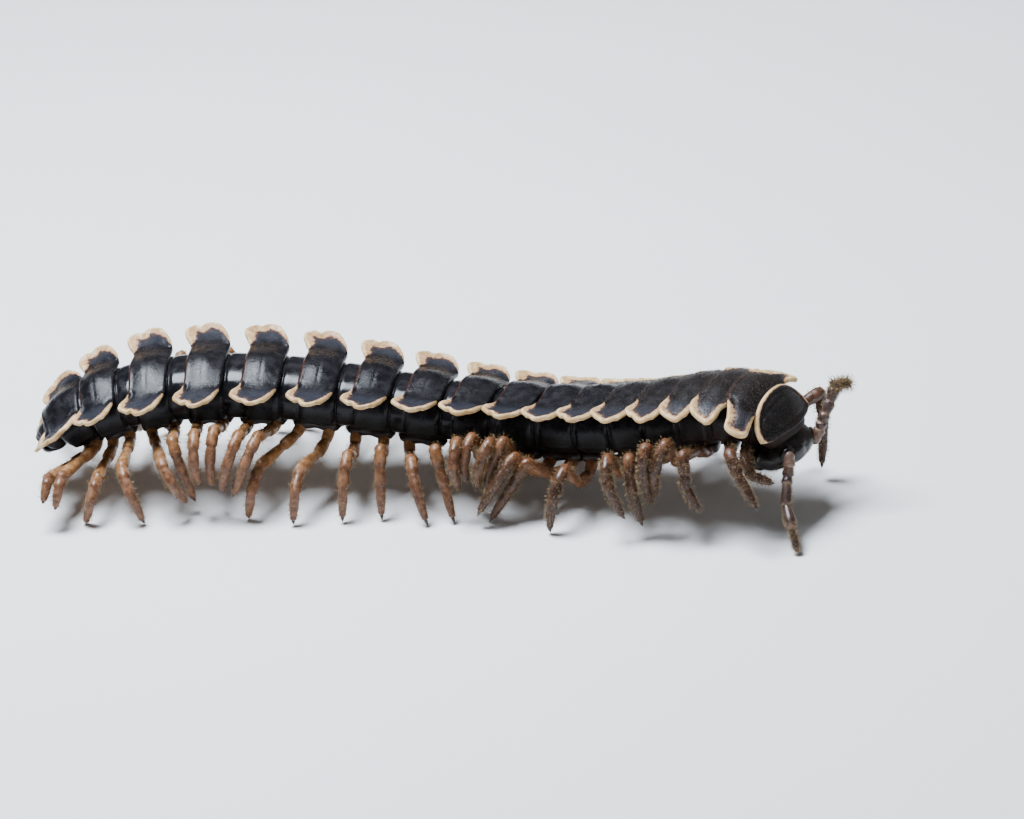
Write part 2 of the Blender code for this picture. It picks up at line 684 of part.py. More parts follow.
def front_leg_joints(ring, side):
    """Joints of one of the first, lifted legs."""
    forward, left, under = ground_frame(ring)
    hip = hip_point(ring, LONE_HIP, side)
    marks = []
    for ahead, out, height in FRONT_LEGS[(ring, side)]:
        mark = under + (forward * ahead + left * side * out) * MM
        mark.z = height * MM
        marks.append(mark)
    knee, shin, foot = marks
    first, second = UPPER_LEG[0] / sum(UPPER_LEG), sum(UPPER_LEG[:2]) / sum(UPPER_LEG)
    lift = Vector((0, 0, FRONT_ARCH))
    return [hip, hip.lerp(knee, first) + lift * 0.5, hip.lerp(knee, second) + lift, knee,
            knee.lerp(shin, 0.55), shin, shin.lerp(foot, 0.85), foot]


def hip_point(ring, share, side):
    depth = ring_sizes(ring)[2]
    height = -depth - PLATE_GAP - PLATE_THICKNESS / 2
    return body_point(ring - share, HIP_OUT * side, height)


def leg_joints(ring, share, side):
    """All joints of a leg from hip to claw tip, and whether it stands on the ground."""
    if ring in LONE_PAIR_RINGS:
        return front_leg_joints(ring, side), False
    place = ring - share
    hip = hip_point(ring, share, side)
    knee, foot, standing = leg_targets(ring, place, side, share < 0)
    up = Vector((0, 0, 1))
    lower = sum(LOWER_LEG)
    if not standing and (foot - knee).length > 0.97 * lower:
        foot = knee + (foot - knee).normalized() * 0.97 * lower
    left = ground_frame(place)[1]
    upper_joints = arc_points(hip, knee, UPPER_LEG, -up)
    lower_joints = arc_points(knee, foot, LOWER_LEG, left * side + up * 0.3)
    return [hip] + upper_joints + lower_joints, standing


def leg_tube(joints, standing, way_back):
    hip, coxa, prefemur, knee, postfemur, tibia, tarsus, claw = joints
    points = [hip, coxa, prefemur, prefemur.lerp(knee, 0.55), knee, postfemur, tibia, tarsus,
              claw]
    radii = [HIP_RADIUS, HIP_RADIUS * 0.9, HIP_RADIUS, THIGH_RADIUS, THIGH_RADIUS * 0.95,
             SHIN_RADIUS, SHIN_RADIUS * 0.9, TARSUS_RADIUS * 0.9, CLAW_RADIUS]
    down = None
    if standing:
        radii[-1] = FOOT_FLAT
        down = Vector((0, 0, -1))
    return tube(points, radii, LEG_SIDES, way_back, down)


def plate_mesh(ring, side, shares):
    """The coxal plate under one side of a ring."""
    depth = ring_sizes(ring)[2]
    spacing = ring_spacing(ring)
    margin = PLATE_MARGIN / spacing
    front, hind = ring - max(shares) - margin, ring - min(shares) + margin
    sections = []
    for place in (front, hind):
        section = []
        for out, height in ((PLATE_INNER, -PLATE_GAP), (PLATE_OUTER, -PLATE_GAP + 0.12 * MM),
                            (PLATE_OUTER, -PLATE_GAP - PLATE_THICKNESS * 0.7),
                            (PLATE_INNER, -PLATE_GAP - PLATE_THICKNESS)):
            section.append(body_point(place, out * side, height - depth))
        sections.append(section)
    return loft(sections, (average(sections[0]), average(sections[-1])))


def make_legs(ring, side, shade):
    if ring in LONE_PAIR_RINGS:
        shares = (LONE_HIP,)
    elif ring == GONOPOD_RING:
        shares = (HIND_HIP,)
    else:
        shares = (FRONT_HIP, HIND_HIP)
    pieces = [plate_mesh(ring, side, shares)]
    for share in shares:
        joints, standing = leg_joints(ring, share, side)
        way_back = -axes_at(ring)[0]
        pieces.append(leg_tube(joints, standing, way_back))
    name = f"legs_{ring:02d}_" + ("left" if side > 0 else "right")
    return join_pieces(name, pieces, shade)


def make_gonopods(shade):
    """The pair of bent gonopods in the opening under the seventh ring."""
    depth = ring_sizes(GONOPOD_RING)[2]
    place = GONOPOD_RING - FRONT_HIP
    base = -depth - PLATE_GAP
    pieces = []
    plate = []
    for along in (-GONOPOD_HALF_LENGTH, GONOPOD_HALF_LENGTH):
        plate.append([body_point(place + along, out * MM, base + height * MM)
                      for out, height in GONOPOD_PLATE])
    pieces.append(loft(plate, (average(plate[0]), average(plate[-1]))))
    radii = [radius * MM for _, _, _, radius in GONOPOD_HOOK]
    for side in (-1, 1):
        joints = [body_point(place - ahead, out * MM * side, base - down * MM)
                  for ahead, out, down, _ in GONOPOD_HOOK]
        pieces.append(tube(joints, radii, LEG_SIDES, axes_at(place)[1]))
    return join_pieces("gonopods", pieces, shade)


def build():
    back = material("black_back", (0.015, 0.014, 0.016), 0.42)
    face = material("black_face", (0.018, 0.015, 0.014), 0.4)
    brown = material("brown_antenna", (0.12, 0.06, 0.045), 0.4)
    amber = material("amber_leg", (0.32, 0.13, 0.05), 0.4)
    make_head(face)
    add_object("mouthparts", oval_lump(MOUTH_SECTIONS, MOUTH_SIDES), face)
    make_antenna("antenna_left", ANTENNA_LEFT, brown)
    make_antenna("antenna_right", ANTENNA_RIGHT, brown)
    make_collum(back)
    for ring in range(FIRST_RING, LAST_RING + 1):
        make_ring(ring, back)
    make_telson(back)
    make_gonopods(amber)
    for ring in range(FIRST_RING, LAST_RING):
        for side in (-1, 1):
            make_legs(ring, side, amber)


clear_scene()
SPINE = spine_points()
build()
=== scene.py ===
# The looks of a life-size museum model of a flat-backed millipede, standing on a pale floor.
# Shapes are made in millimetres, in the frame of the solids, and written in metres.
# The pose, rings, head and legs repeat the sizes of the solids that they stand for.

import math

import bmesh
import bpy
import numpy as np
from mathutils import Matrix, Vector


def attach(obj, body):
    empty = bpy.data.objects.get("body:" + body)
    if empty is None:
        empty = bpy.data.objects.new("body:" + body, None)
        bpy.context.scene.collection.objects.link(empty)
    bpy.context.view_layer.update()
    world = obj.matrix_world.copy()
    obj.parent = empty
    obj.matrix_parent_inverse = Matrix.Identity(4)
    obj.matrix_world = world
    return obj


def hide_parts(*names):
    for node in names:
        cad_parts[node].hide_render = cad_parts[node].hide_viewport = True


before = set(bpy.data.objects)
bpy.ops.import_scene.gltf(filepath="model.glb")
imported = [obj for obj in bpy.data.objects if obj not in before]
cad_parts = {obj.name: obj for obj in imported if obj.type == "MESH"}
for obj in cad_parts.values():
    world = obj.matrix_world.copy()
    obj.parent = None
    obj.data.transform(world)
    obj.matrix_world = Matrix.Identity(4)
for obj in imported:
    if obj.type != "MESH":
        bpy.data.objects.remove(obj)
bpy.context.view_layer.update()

MM = 0.001
BODY = "root"

# The body at its full width, in millimetres
HALF_WIDTH = 4.25
TRUNK_HALF_WIDTH = 2.4
BELLY_DEPTH = 2.75
BACK_HEIGHT = 0.92
DROOPED_BACK = 1.25
COLLAR_HEIGHT = 0.45
DROOPED_COLLAR = 0.62
KEEL_LIFT = 0.43

FIRST_RING = 2
LAST_RING = 19
MIDDLE_RING = 10
TO_ORIGIN = np.array((4.49, 10.45, 0.0))
MIDDLE_PLACE = np.array((-1.75, -9.12, 5.34)) + TO_ORIGIN
LONE_PAIR_RINGS = (2, 3, 4)
GONOPOD_RING = 7
PORE_RINGS = (5, 7, 9, 10, 12, 13, 15, 16, 17, 18)
# Finishes that come in from ring to ring: the ring number with none of it and the one with all
VELVETY_RINGS = (7.0, 3.0)
TUFTED_RINGS = (8.0, 4.5)
PALE_LEG_RINGS = (7.0, 13.0)
PLUM_LEG_RINGS = (5.5, 3.5)

# The pose: ring, heading to the right of +X, slope and twist in degrees, ring spacing
POSE = np.array((
    (2, 28.0, -18.5, 2.0, 1.53),
    (4, 25.2, 10.2, -4.0, 2.0),
    (7, 26.2, 7.3, -8.5, 2.22),
    (10, 18.0, -4.8, -6.5, 2.85),
    (13, 9.7, -7.5, 5.0, 3.3),
    (16, 6.4, 8.4, 11.2, 3.27),
    (18, 6.3, 37.7, 9.0, 2.3),
    (21, 5.4, 130.0, 4.0, 0.1),
))
SPINE_STEP = 0.05

KEEL_SHARE = {2: 0.91, 3: 0.91, 4: 0.94, 5: 0.98, 17: 0.93, 18: 0.82, 19: 0.38}
TRUNK_SHARE = {2: 0.82, 3: 0.88, 4: 0.94, 17: 0.95, 18: 0.82, 19: 0.48}
DROOP = {2: 1.0, 3: 0.95, 4: 0.85, 5: 0.7, 6: 0.55, 7: 0.4, 8: 0.3, 9: 0.2, 10: 0.1}
STRETCH = {17: 0.94, 18: 1.12, 19: 0.50}

# Half of a tergite's outline, by ring: millimetres behind the ring's middle and share of the
# keel's reach. The front edge runs from the middle of the back outward, the side from front to
# back past the pore's notch, and the hind edge from the hind corner inward.
FRONT_EDGE = {
    2: ((-0.2, 0), (-0.18, 0.25), (-0.2, 0.42), (-0.3, 0.60), (-0.42, 0.73), (-0.55, 0.86)),
    3: ((-0.5, 0), (-0.48, 0.25), (-0.42, 0.42), (-0.30, 0.56), (-0.15, 0.68), (-0.12, 0.80)),
    5: ((-0.95, 0), (-0.95, 0.28), (-0.92, 0.48), (-0.85, 0.62), (-0.68, 0.75), (-0.45, 0.88)),
    9: ((-1.12, 0), (-1.12, 0.28), (-1.10, 0.48), (-1.0, 0.62), (-0.84, 0.76), (-0.58, 0.89)),
}
SIDE_EDGE = {
    2: ((-0.55, 0.86), (-0.52, 0.92), (-0.30, 0.97), (0.0, 0.995), (0.25, 1.0), (0.50, 0.995),
        (0.72, 0.975), (0.86, 0.94), (0.90, 0.89), (0.92, 0.84)),
    3: ((-0.12, 0.80), (-0.06, 0.90), (0.09, 0.975), (0.37, 1.0), (0.65, 0.975), (0.89, 0.945),
        (1.08, 0.915), (1.23, 0.885), (1.36, 0.84), (1.45, 0.79)),
    5: ((-0.45, 0.88), (-0.15, 0.96), (0.12, 1.0), (0.42, 0.975), (0.62, 0.935), (0.80, 0.905),
        (1.0, 0.87), (1.20, 0.83), (1.36, 0.79), (1.42, 0.755)),
    9: ((-0.58, 0.89), (-0.25, 0.965), (0.15, 1.0), (0.48, 0.99), (0.65, 0.955), (0.76, 0.93),
        (1.0, 0.935), (1.30, 0.885), (1.53, 0.83), (1.60, 0.775)),
}
HIND_EDGE = {
    2: ((0.92, 0.84), (1.0, 0.76), (1.15, 0.66), (1.30, 0.55), (1.50, 0.35), (1.53, 0)),
    3: ((1.45, 0.79), (1.49, 0.72), (1.50, 0.64), (1.44, 0.55), (1.25, 0.35), (1.16, 0)),
    5: ((1.42, 0.755), (1.36, 0.69), (1.24, 0.60), (1.18, 0.50), (1.20, 0.30), (1.28, 0)),
    9: ((1.60, 0.775), (1.52, 0.68), (1.33, 0.58), (1.17, 0.49), (1.10, 0.30), (1.10, 0)),
}
PORE_POINT = 5
HIND_CORNER_POINT = 8
PORE_NOTCH = 0.022
CHIPPED_CORNER = 0.035
HALF_COLUMNS = 44
ROWS = 46
EDGE_THICKNESS = 0.28
EDGE_ROUND = 0.16
FLAT_BACK_SHARE = 0.45
ARCH_POWER = 1.8

# The cream rim: its width on the right, and on the left, where the drooped rings have more
RIM_WIDTH = 0.35
FAR_RIM_WIDTH = 0.50
FAR_RIM_GAIN = 0.7
RIM_FROM = 0.52
RIM_TAPER = ((0, 0.12, 0.3, 0.55, 0.75, 0.84, 0.95, 1),
             (0.15, 0.55, 0.90, 0.95, 1.10, 1.20, 0.85, 0.3))
HEM_WIDTH = 0.15

# How a back plate is modelled: falls and lifts in millimetres, or as shares of its arch, each
# between two distances from an edge or two shares of the way out
KEEL_ROOT = (0.52, 0.74)
FRONT_FALL, FRONT_FALL_REACH = 0.36, (-0.3, 1.25)
HIND_FALL, HIND_FALL_REACH = 0.16, (-0.4, 0.9)
KEEL_FRONT_DIP, KEEL_FRONT_REACH = 0.10, (0, 0.35)
KEEL_HIND_LIFT, KEEL_HIND_REACH = 0.10, (0.7, 1.5)
KEEL_SWELL, KEEL_SWELL_PLACE = 0.11, (0.28, 0.62)
UNDERCUT, UNDERCUT_REACH = 0.3, (0.15, 1.2)
FURROW_REACH = (0.35, 0.5)
# Ridges and grooves: height, place and width in millimetres
RIM_BEAD = (0.05, 0.10, 0.13)
RIM_GROOVE = (-0.035, 0.38, 0.13)
HEM_BEAD = (0.035, 0.12, 0.12)
CROSS_FURROW = (-0.022, 0.05, 0.10)
PORE_PLACE = (0.80, 0.865)
PORE_RING = (0.055, 0.10, 0.07)
PORE_PIT = (-0.02, 0.0, 0.05)

# The trunk: places in millimetres along it, and what it loses there. The waist takes shares of
# its width and depth, the tail a share of its width, and all other losses are millimetres.
TRUNK_SIDES = 72
WAIST_AHEAD = 0.10
WAIST_GROOVE_WIDTH = 0.075
WAIST_WIDTH_LOSS, WAIST_TOP_LOSS, WAIST_DEPTH_LOSS = 0.040, 0.09, 0.02
TAIL_WIDTH_LOSS, TAIL_TOP_LOSS, TAIL_DEPTH_LOSS = 0.08, 0.25, 0.12
BARREL_STEP = 0.10
BARREL_RISE, TAIL_ROUND, NOSE_ROUND = 0.35, 0.25, 0.3
TERGITE_LENGTH = 2.0
LEAST_COLLAR = 0.35
COLLAR_WIDTH_SHARE, BARREL_WIDTH_GAIN = 0.955, 0.045
COLLAR_DEPTH_SHARE, BARREL_DEPTH_GAIN = 0.97, 0.03
NOSE_TAPER = 0.2
BELLY_SQUARENESS, BACK_SQUARENESS = 0.86, 0.96
SIDE_KEEL = (0.07, 0.10)
SIDE_KEEL_ANGLES = (3.62, 5.80)
BELLY_CHANNEL = (0.12, 1.5 * np.pi, 0.10)

# Legs: articles from coxa to claw
UPPER_LEG = (0.7, 1.2, 2.3)
LOWER_LEG = (0.9, 1.1, 1.75, 0.4)
FRONT_HIP = 0.22
HIND_HIP = -0.30
LONE_HIP = 0.0
HIP_OUT = 0.85
PLATE_GAP = 0.32
PLATE_THICKNESS = 0.5
LANDINGS = (6.6, 10.75, 16.75)
LIFTS = (2.0, 8.25, 13.75, 19.2)
STANCE_REACH = (2.3, -2.7)
SWING_REACH = (-1.9, 2.3)
STANCE_FOOT_OUT = 6.1
SWING_FOOT_OUT = 4.4
SWING_LIFT = 2.2
AXIS_HEIGHT = 6.4
MOST_BEND = 2.6
FRONT_ARCH = 0.25
KNEE_OUT = 4.6
STANCE_KNEE_HEIGHT = 3.2
SWING_KNEE_BELOW = 1.35
KNEE_FOLLOW = 0.45
STAGGER = 0.28
FRONT_LEGS = {
    (2, -1): ((0.1, 3.0, 4.35), (0.55, 3.35, 3.75), (1.9, 3.2, 3.4)),
    (2, 1): ((1.5, 4.5, 5.5), (1.45, 4.7, 3.1), (1.35, 4.4, 0.7)),
    (3, -1): ((1.2, 4.2, 5.3), (1.8, 4.7, 4.4), (3.15, 5.3, 2.6)),
    (3, 1): ((0.7, 4.3, 4.6), (1.0, 4.9, 3.6), (1.9, 5.6, 1.6)),
    (4, -1): ((0.35, 4.5, 5.05), (0.6, 4.9, 3.3), (1.5, 5.1, 1.9)),
    (4, 1): ((0.3, 4.5, 4.6), (0.3, 5.0, 2.9), (0.5, 5.3, 1.2)),
}
# How the near legs differ from an even gait, by ring and front or hind leg: knee ahead and up,
# foot ahead, out and up
RIGHT_LEG_SHIFTS = {
    (5, 0): (0.6, 0.3, -0.6, 0.0, 0.0), (5, 1): (0.5, 0.5, -0.15, -0.6, -0.15),
    (6, 0): (0.1, 0.0, 0.2, 0.4, -0.7), (6, 1): (-0.2, 0.6, 0.0, 0.0, 0.5),
    (7, 1): (0.0, 0.2, -0.6, -0.1, 0.0),
    (8, 0): (-0.7, 0.3, -2.1, -0.4, 0.0), (8, 1): (0.0, 0.4, -0.85, 0.5, 0.35),
    (9, 0): (0.0, 0.5, -0.7, -0.4, -0.2), (9, 1): (0.2, 0.3, -0.6, -0.2, 0.0),
    (10, 0): (-0.2, 0.3, -1.1, 0.0, 0.25), (10, 1): (0.0, 0.5, -0.8, 0.0, 0.5),
    (11, 0): (-0.4, 0.8, -0.45, 0.0, 0.0), (11, 1): (0.0, 0.1, 0.35, 0.3, 0.0),
    (12, 0): (0.0, 0.7, -0.3, -0.2, 0.0), (12, 1): (0.0, 0.3, -0.15, 0.0, 0.0),
    (13, 0): (-0.9, -0.4, -0.7, 0.3, 0.0), (13, 1): (-1.3, -0.3, -1.0, -0.7, 0.0),
    (14, 0): (0.2, 1.3, -0.3, 0.0, 1.2), (14, 1): (0.5, 0.5, -0.1, 0.0, 0.0),
    (15, 0): (0.3, 0.3, 0.1, 0.0, -0.6), (15, 1): (0.6, 0.3, 0.4, 0.0, -0.35),
    (16, 0): (0.4, 0.0, 0.9, 0.0, -1.9), (16, 1): (0.9, -0.3, 1.3, 0.0, -0.4),
    (17, 0): (-0.3, -0.1, -0.4, -0.3, 0.0), (17, 1): (0.0, -0.8, -1.5, -0.9, 0.0),
    (18, 0): (-0.5, -0.4, -1.1, 0.0, 1.3), (18, 1): (0.0, 0.0, 0.1, 0.0, 1.7),
}
# Radii of each article at its base, middle and end
LEG_ARTICLES = (
    (0.34, 0.36, 0.33),
    (0.30, 0.36, 0.35),
    (0.27, 0.33, 0.38),
    (0.31, 0.36, 0.35),
    (0.29, 0.33, 0.32),
    (0.28, 0.28, 0.20),
    (0.11, 0.075, 0.012),
)
ARTICLE_STOPS = (0.03, 0.10, 0.25, 0.42, 0.6, 0.78, 0.9, 0.96, 1.0)
ARTICLE_SHARES = (0.0, 0.10, 0.5, 0.88, 0.96, 1.0)
PALE_START, LEG_PALE_END, ANTENNA_PALE_END = 0.12, 0.06, 0.08
LEG_SIDES = 14
CLAW_SIDES = 10
CLAW_SOCKET = 0.6
HIP_SINK = 0.30
MOST_REACH = 0.97
FRONT_SHIN_JOINT, FRONT_FOOT_JOINT = 0.55, 0.85
PLATE_LAP = 0.66
PLATE_OUT, PLATE_HALF_WIDTH = 0.66, 0.60
PLATE_DROP, PLATE_HALF_HEIGHT = 0.12, 0.42
PLATE_WAIST = (0.22, 0.5, 0.12)
GRIT_PER_LEG = 16
GRIT_SIZES = (0.02, 0.055)

# Coats: number of hairs on a shape, their length and width in millimetres, and their lift from
# the skin, where 0 lies flat and 1 stands up
RING_VELVET = (1100, 0.14, 0.011, 0.4)
COLLUM_VELVET = (2600, 0.18, 0.013, 0.6)
HEAD_HAIRS = (1500, 0.13, 0.007, 0.35)
LIP_FRINGE = (34, 0.32, 0.014, 0.5)
LEG_BRISTLES = (420, 0.24, 0.014, 0.8)
REAR_LEG_BRISTLES = (200, 0.24, 0.014, 0.8)
# An antenna's coat, how much denser it grows near the tip, and the brush round the tip
LOWERED_HAIRS = ((900, 0.17, 0.010, 0.5), 0.3, (110, 0.16, 0.018, 0.9))
RAISED_HAIRS = ((1500, 0.17, 0.010, 0.5), 2.4, (260, 0.50, 0.018, 0.9))

# Head and collum, as forward, left and up from the middle between the collum's side lobes
HEAD_HEADING = 32.6
COLLUM_PLACE = np.array((15.24, -16.93, 5.40)) + TO_ORIGIN
COLLUM_SLOPE = 53.2
COLLUM_HALF_WIDTH = 2.80
COLLUM_HIND = 2.09
COLLUM_FRONT = 0.145
COLLUM_DOME = 0.70
COLLUM_SQUARENESS = 2.15
CORNER_START = 0.6
CORNER_CUT = 0.24
LOBE_HIND = -0.18
LOBE_FRONT = 0.015
COLLUM_ROWS, COLLUM_COLUMNS = 61, 97
COLLUM_THICKNESS = 0.32
COLLUM_ROUND = 0.15
COLLUM_EDGE_DROP = 0.14
COLLUM_NOTCH = (0.10, 0.0, 0.35)
COLLUM_BEAD = (0.05, 0.06, 0.14)
COLLUM_GROOVE = (-0.05, 0.34, 0.12)
COLLUM_FURROW = (-0.05, 0.30, 0.05)
COLLUM_RIM, COLLUM_LOBE_RIM = 0.135, 0.06
COLLUM_FRONT_RIM, COLLUM_CORNER_RIM = 0.004, 0.18
NECK_PLACE = (-0.55, 0.0, 0.05)
NECK_RADII = (1.35, 2.1, 1.05)
HEAD_SECTIONS = (
    (0.54, -0.12, -0.40, -0.55, 1.30),
    (0.92, -0.64, -0.85, -0.85, 1.66),
    (1.08, -1.08, -1.20, -1.15, 1.92),
    (0.98, -1.55, -1.50, -1.45, 1.92),
    (0.55, -1.98, -1.72, -1.75, 1.72),
    (-0.05, -2.35, -1.82, -2.05, 1.36),
    (-0.62, -2.60, -1.75, -2.38, 0.92),
)
MOUTH_SECTIONS = (
    (-1.66, -1.40, -2.02, -1.46, 0.80),
    (-1.74, -1.76, -2.16, -1.80, 1.00),
    (-1.78, -2.12, -2.20, -2.16, 0.92),
    (-1.74, -2.42, -2.08, -2.46, 0.60),
)
SOCKET_PLACE = np.array((0.62, 1.36, -1.14))
SOCKET_STEPS = (0.0, 0.12, 0.20, 0.25, 0.26, 0.22, 0.14)
SOCKET_RADII = (0.56, 0.54, 0.50, 0.43, 0.35, 0.30, 0.27)
JAW_PLACE, JAW_RADII, JAW_TURN = (-1.42, 1.00, -2.02), (0.50, 0.36, 0.52), 0.5
PALP_PLACE, PALP_RADII, PALP_TURN = (-1.84, 0.38, -2.52), (0.13, 0.18, 0.12), 0.3
# Lumps and hollows of the head: place, radius and height
HEAD_LUMPS = (
    ((1.05, 0.60, -1.00), 0.42, 0.07),
    ((1.08, 0.0, -0.95), 0.15, -0.07),
    ((1.05, 0.0, -1.25), 0.15, -0.05),
    ((0.70, 1.30, -1.15), 0.46, 0.14),
    ((-0.45, 1.72, -1.20), 0.55, 0.16),
    ((-0.90, 1.50, -1.75), 0.48, 0.14),
    ((0.15, 1.50, -1.70), 0.24, -0.12),
    ((0.35, 0.0, -1.95), 0.60, 0.07),
    ((0.30, 0.85, -1.90), 0.22, -0.05),
    ((-0.20, 0.60, -2.30), 0.25, -0.06),
    ((-0.55, 0.0, -2.50), 0.28, 0.05),
)
MOUTH_FURROWS = (
    ((-2.18, 0.0, -1.85), 0.14, -0.06),
    ((-2.18, 0.38, -1.95), 0.12, -0.06),
    ((-2.10, 0.40, -2.30), 0.2, 0.05),
)
# The antennae's joints from socket to tip, and the radii along each of their seven articles
ANTENNA_RIGHT = (
    (0.72, -1.48, -1.16), (0.84, -1.70, -1.56), (0.80, -1.86, -2.10), (0.90, -2.20, -2.42),
    (1.18, -2.90, -3.36), (1.86, -3.72, -4.10), (2.02, -3.95, -4.14), (2.61, -4.58, -5.05),
)
ANTENNA_LEFT = (
    (0.84, 1.50, -1.24), (1.10, 1.68, -0.72), (1.14, 1.80, -0.36), (1.28, 2.04, 0.06),
    (1.34, 2.55, 0.60), (1.40, 3.02, 1.24), (1.42, 3.16, 1.41), (2.05, 3.58, 1.43),
)
ARTICLE_GIRTH = (1.05, 0.98, 0.95, 0.98, 1.0, 0.92, 0.74)
ANTENNA_STOPS = (0.02, 0.10, 0.26, 0.45, 0.64, 0.80, 0.90, 0.965, 1.0)
ANTENNA_RADII = (0.245, 0.262, 0.285, 0.310, 0.332, 0.342, 0.332, 0.300, 0.262)
TIP_TAPER = 0.22
ANTENNA_SIDES = 20
DOME_STEPS = 5
SOCKET_BOSS = (0.34, 0.36, 0.40)
TIP_CONES = 4
TIP_CONE_OUT = 0.07
TIP_CONE_RADII = (0.045, 0.042, 0.036, 0.028, 0.018, 0.006)

# The telson: place past the last ring, half-width, height above and below the keel plane
TELSON_SECTIONS = (
    (0.00, 0.90, 0.40, 1.00),
    (0.30, 0.88, 0.42, 0.95),
    (0.70, 0.60, 0.34, 0.72),
    (1.05, 0.34, 0.22, 0.45),
    (1.25, 0.24, 0.10, 0.34),
)
TELSON_START = 19.44
TELSON_SCALE = 0.504
TELSON_DROP = 0.25
TELSON_SEAM = (0.10, 0.0, 0.08)
GONOPOD_HOOK = (
    (0.00, 0.40, 0.05, 0.26),
    (0.00, 0.42, 0.60, 0.25),
    (0.12, 0.34, 0.85, 0.17),
    (0.30, 0.30, 0.90, 0.06),
)

# The camera: its lens, its height over the horizon and its roll, seen square from -Y
LENS = 155.0
CAMERA_DISTANCE = 263.0
CAMERA_ELEVATION = 24.9
CAMERA_ROLL = -4.9
SENSOR_WIDTH = 36.0
CLIP_START = 0.001

# Lights: place and size in millimetres, watts and colour, each aimed just over the floor
LIGHTS = {
    "sky_panel": ((-45, 25, 180), (85, 100), 1.55, (0.83, 0.90, 1.0)),
    "back_panel": ((40, 190, 190), (260, 60), 0.04, (0.93, 0.96, 1.0)),
    "front_fill": ((60, -240, 60), (200, 90), 0.15, (1.0, 0.97, 0.93)),
}
LIGHT_AIM = Vector((0, 0, 0.004))
AIR_COLOUR, AIR_STRENGTH = (0.90, 0.93, 1.0), 0.10
FLOOR_HALF_SIZE = 0.9

# Colours; a pair is the darker and the lighter tone of one mottled skin
BACK_BLACK = ((0.004, 0.004, 0.005), (0.011, 0.010, 0.012))
VELVET_BLACK = ((0.005, 0.004, 0.003), (0.020, 0.011, 0.007))
REAR_BELLY, FRONT_BELLY = (0.004, 0.003, 0.002), (0.022, 0.010, 0.006)
# Painted reflection: a blue-grey tint on the keels' tops that stands in for the sky mirrored there
KEEL_PAINTED_SKY_REFLECTION = (0.027, 0.029, 0.038)
HEM_BROWN = (0.060, 0.018, 0.010)
RIM_CREAM = ((0.43, 0.275, 0.125), (0.64, 0.465, 0.25))
INNER_RIM = (0.36, 0.20, 0.10)
RIM_HALO = (0.075, 0.038, 0.027)
BACK_DUST = (0.24, 0.16, 0.09)
FACE_BLACK = ((0.0045, 0.004, 0.0045), (0.013, 0.010, 0.009))
LIP_BROWN = ((0.018, 0.009, 0.006), (0.050, 0.026, 0.015))
ANTENNA_BROWN = ((0.026, 0.014, 0.012), (0.062, 0.034, 0.028))
ANTENNA_TIP = (0.020, 0.012, 0.010)
ANTENNA_ROOT = (0.15, 0.085, 0.060)
ANTENNA_JOINT = (0.24, 0.15, 0.10)
THIGH_PLUM = ((0.034, 0.016, 0.012), (0.090, 0.042, 0.028))
THIGH_AMBER = ((0.095, 0.036, 0.014), (0.210, 0.085, 0.034))
THIGH_TAN = ((0.200, 0.085, 0.028), (0.360, 0.185, 0.075))
SHIN_BROWN = ((0.024, 0.011, 0.007), (0.062, 0.029, 0.016))
SHIN_TAN = ((0.095, 0.038, 0.018), (0.200, 0.092, 0.045))
LEG_JOINT = (0.085, 0.030, 0.012)
HIP_PLATE = (0.014, 0.008, 0.005)
LEG_DUST = (0.24, 0.17, 0.11)
CLAW_HORN = (0.030, 0.014, 0.008)
EARTH = ((0.09, 0.06, 0.04), (0.30, 0.23, 0.16))
FLOOR_GREY = ((0.66, 0.66, 0.65), (0.70, 0.70, 0.69))
# Bristles, at their roots and tips
DARK_HAIR = ((0.012, 0.009, 0.007), (0.105, 0.078, 0.050))
FAWN_HAIR = ((0.065, 0.033, 0.016), (0.46, 0.31, 0.13))


def smooth_step(low, high, value):
    share = np.clip((np.asarray(value, float) - low) / (high - low), 0.0, 1.0)
    return share * share * (3.0 - 2.0 * share)


def ring_share(ring, none, all_of_it):
    """How much of a finish a ring has, between the ring with none and the ring with all."""
    return float(np.clip((ring - none) / (all_of_it - none), 0, 1))


def bump(value, centre, width):
    return np.exp(-((np.asarray(value, float) - centre) / width) ** 2)


def relief(value, feature):
    """A ridge or groove: its height, the place of its middle and its width."""
    height, centre, width = feature
    return height * bump(value, centre, width)


def squared(value, power):
    """A sine or cosine bent so that a round section gets squarer for a power below one."""
    return np.sign(value) * np.abs(value) ** power


def around(sides):
    """Angles round a section."""
    return np.linspace(0, 2 * np.pi, sides, endpoint=False)


def unit(vectors):
    vectors = np.asarray(vectors, float)
    return vectors / np.maximum(np.linalg.norm(vectors, axis=-1, keepdims=True), 1e-9)


def pose_curve(column, places):
    """A smooth curve through one column of POSE, read at ring numbers."""
    places = np.asarray(places, float)
    rings, values = POSE[:, 0], POSE[:, column]
    last = len(rings) - 1
    start = np.clip(np.searchsorted(rings[1:], places), 0, last - 1)
    end, before, after = start + 1, np.maximum(start - 1, 0), np.minimum(start + 2, last)
    span = rings[end] - rings[start]
    share = np.clip((places - rings[start]) / span, -0.5, 1.0)
    slope_in = (values[end] - values[before]) / np.maximum(rings[end] - rings[before], 1) * span
    slope_out = (values[after] - values[start]) / np.maximum(rings[after] - rings[start], 1) * span
    square, cube = share ** 2, share ** 3
    return ((2 * cube - 3 * square + 1) * values[start] + (cube - 2 * square + share) * slope_in
            + (3 * square - 2 * cube) * values[end] + (cube - square) * slope_out)


def body_axes(places):
    """Forward, left and up of the body at ring numbers."""
    heading, slope, twist = (np.radians(pose_curve(column, places)) for column in (1, 2, 3))
    forward = np.stack((np.cos(heading) * np.cos(slope), -np.sin(heading) * np.cos(slope),
                        np.sin(slope)), -1)
    level = np.stack((np.sin(heading), np.cos(heading), np.zeros_like(heading)), -1)
    upright = np.cross(forward, level)
    left = level * np.cos(twist)[..., None] + upright * np.sin(twist)[..., None]
    return forward, left, np.cross(forward, left)


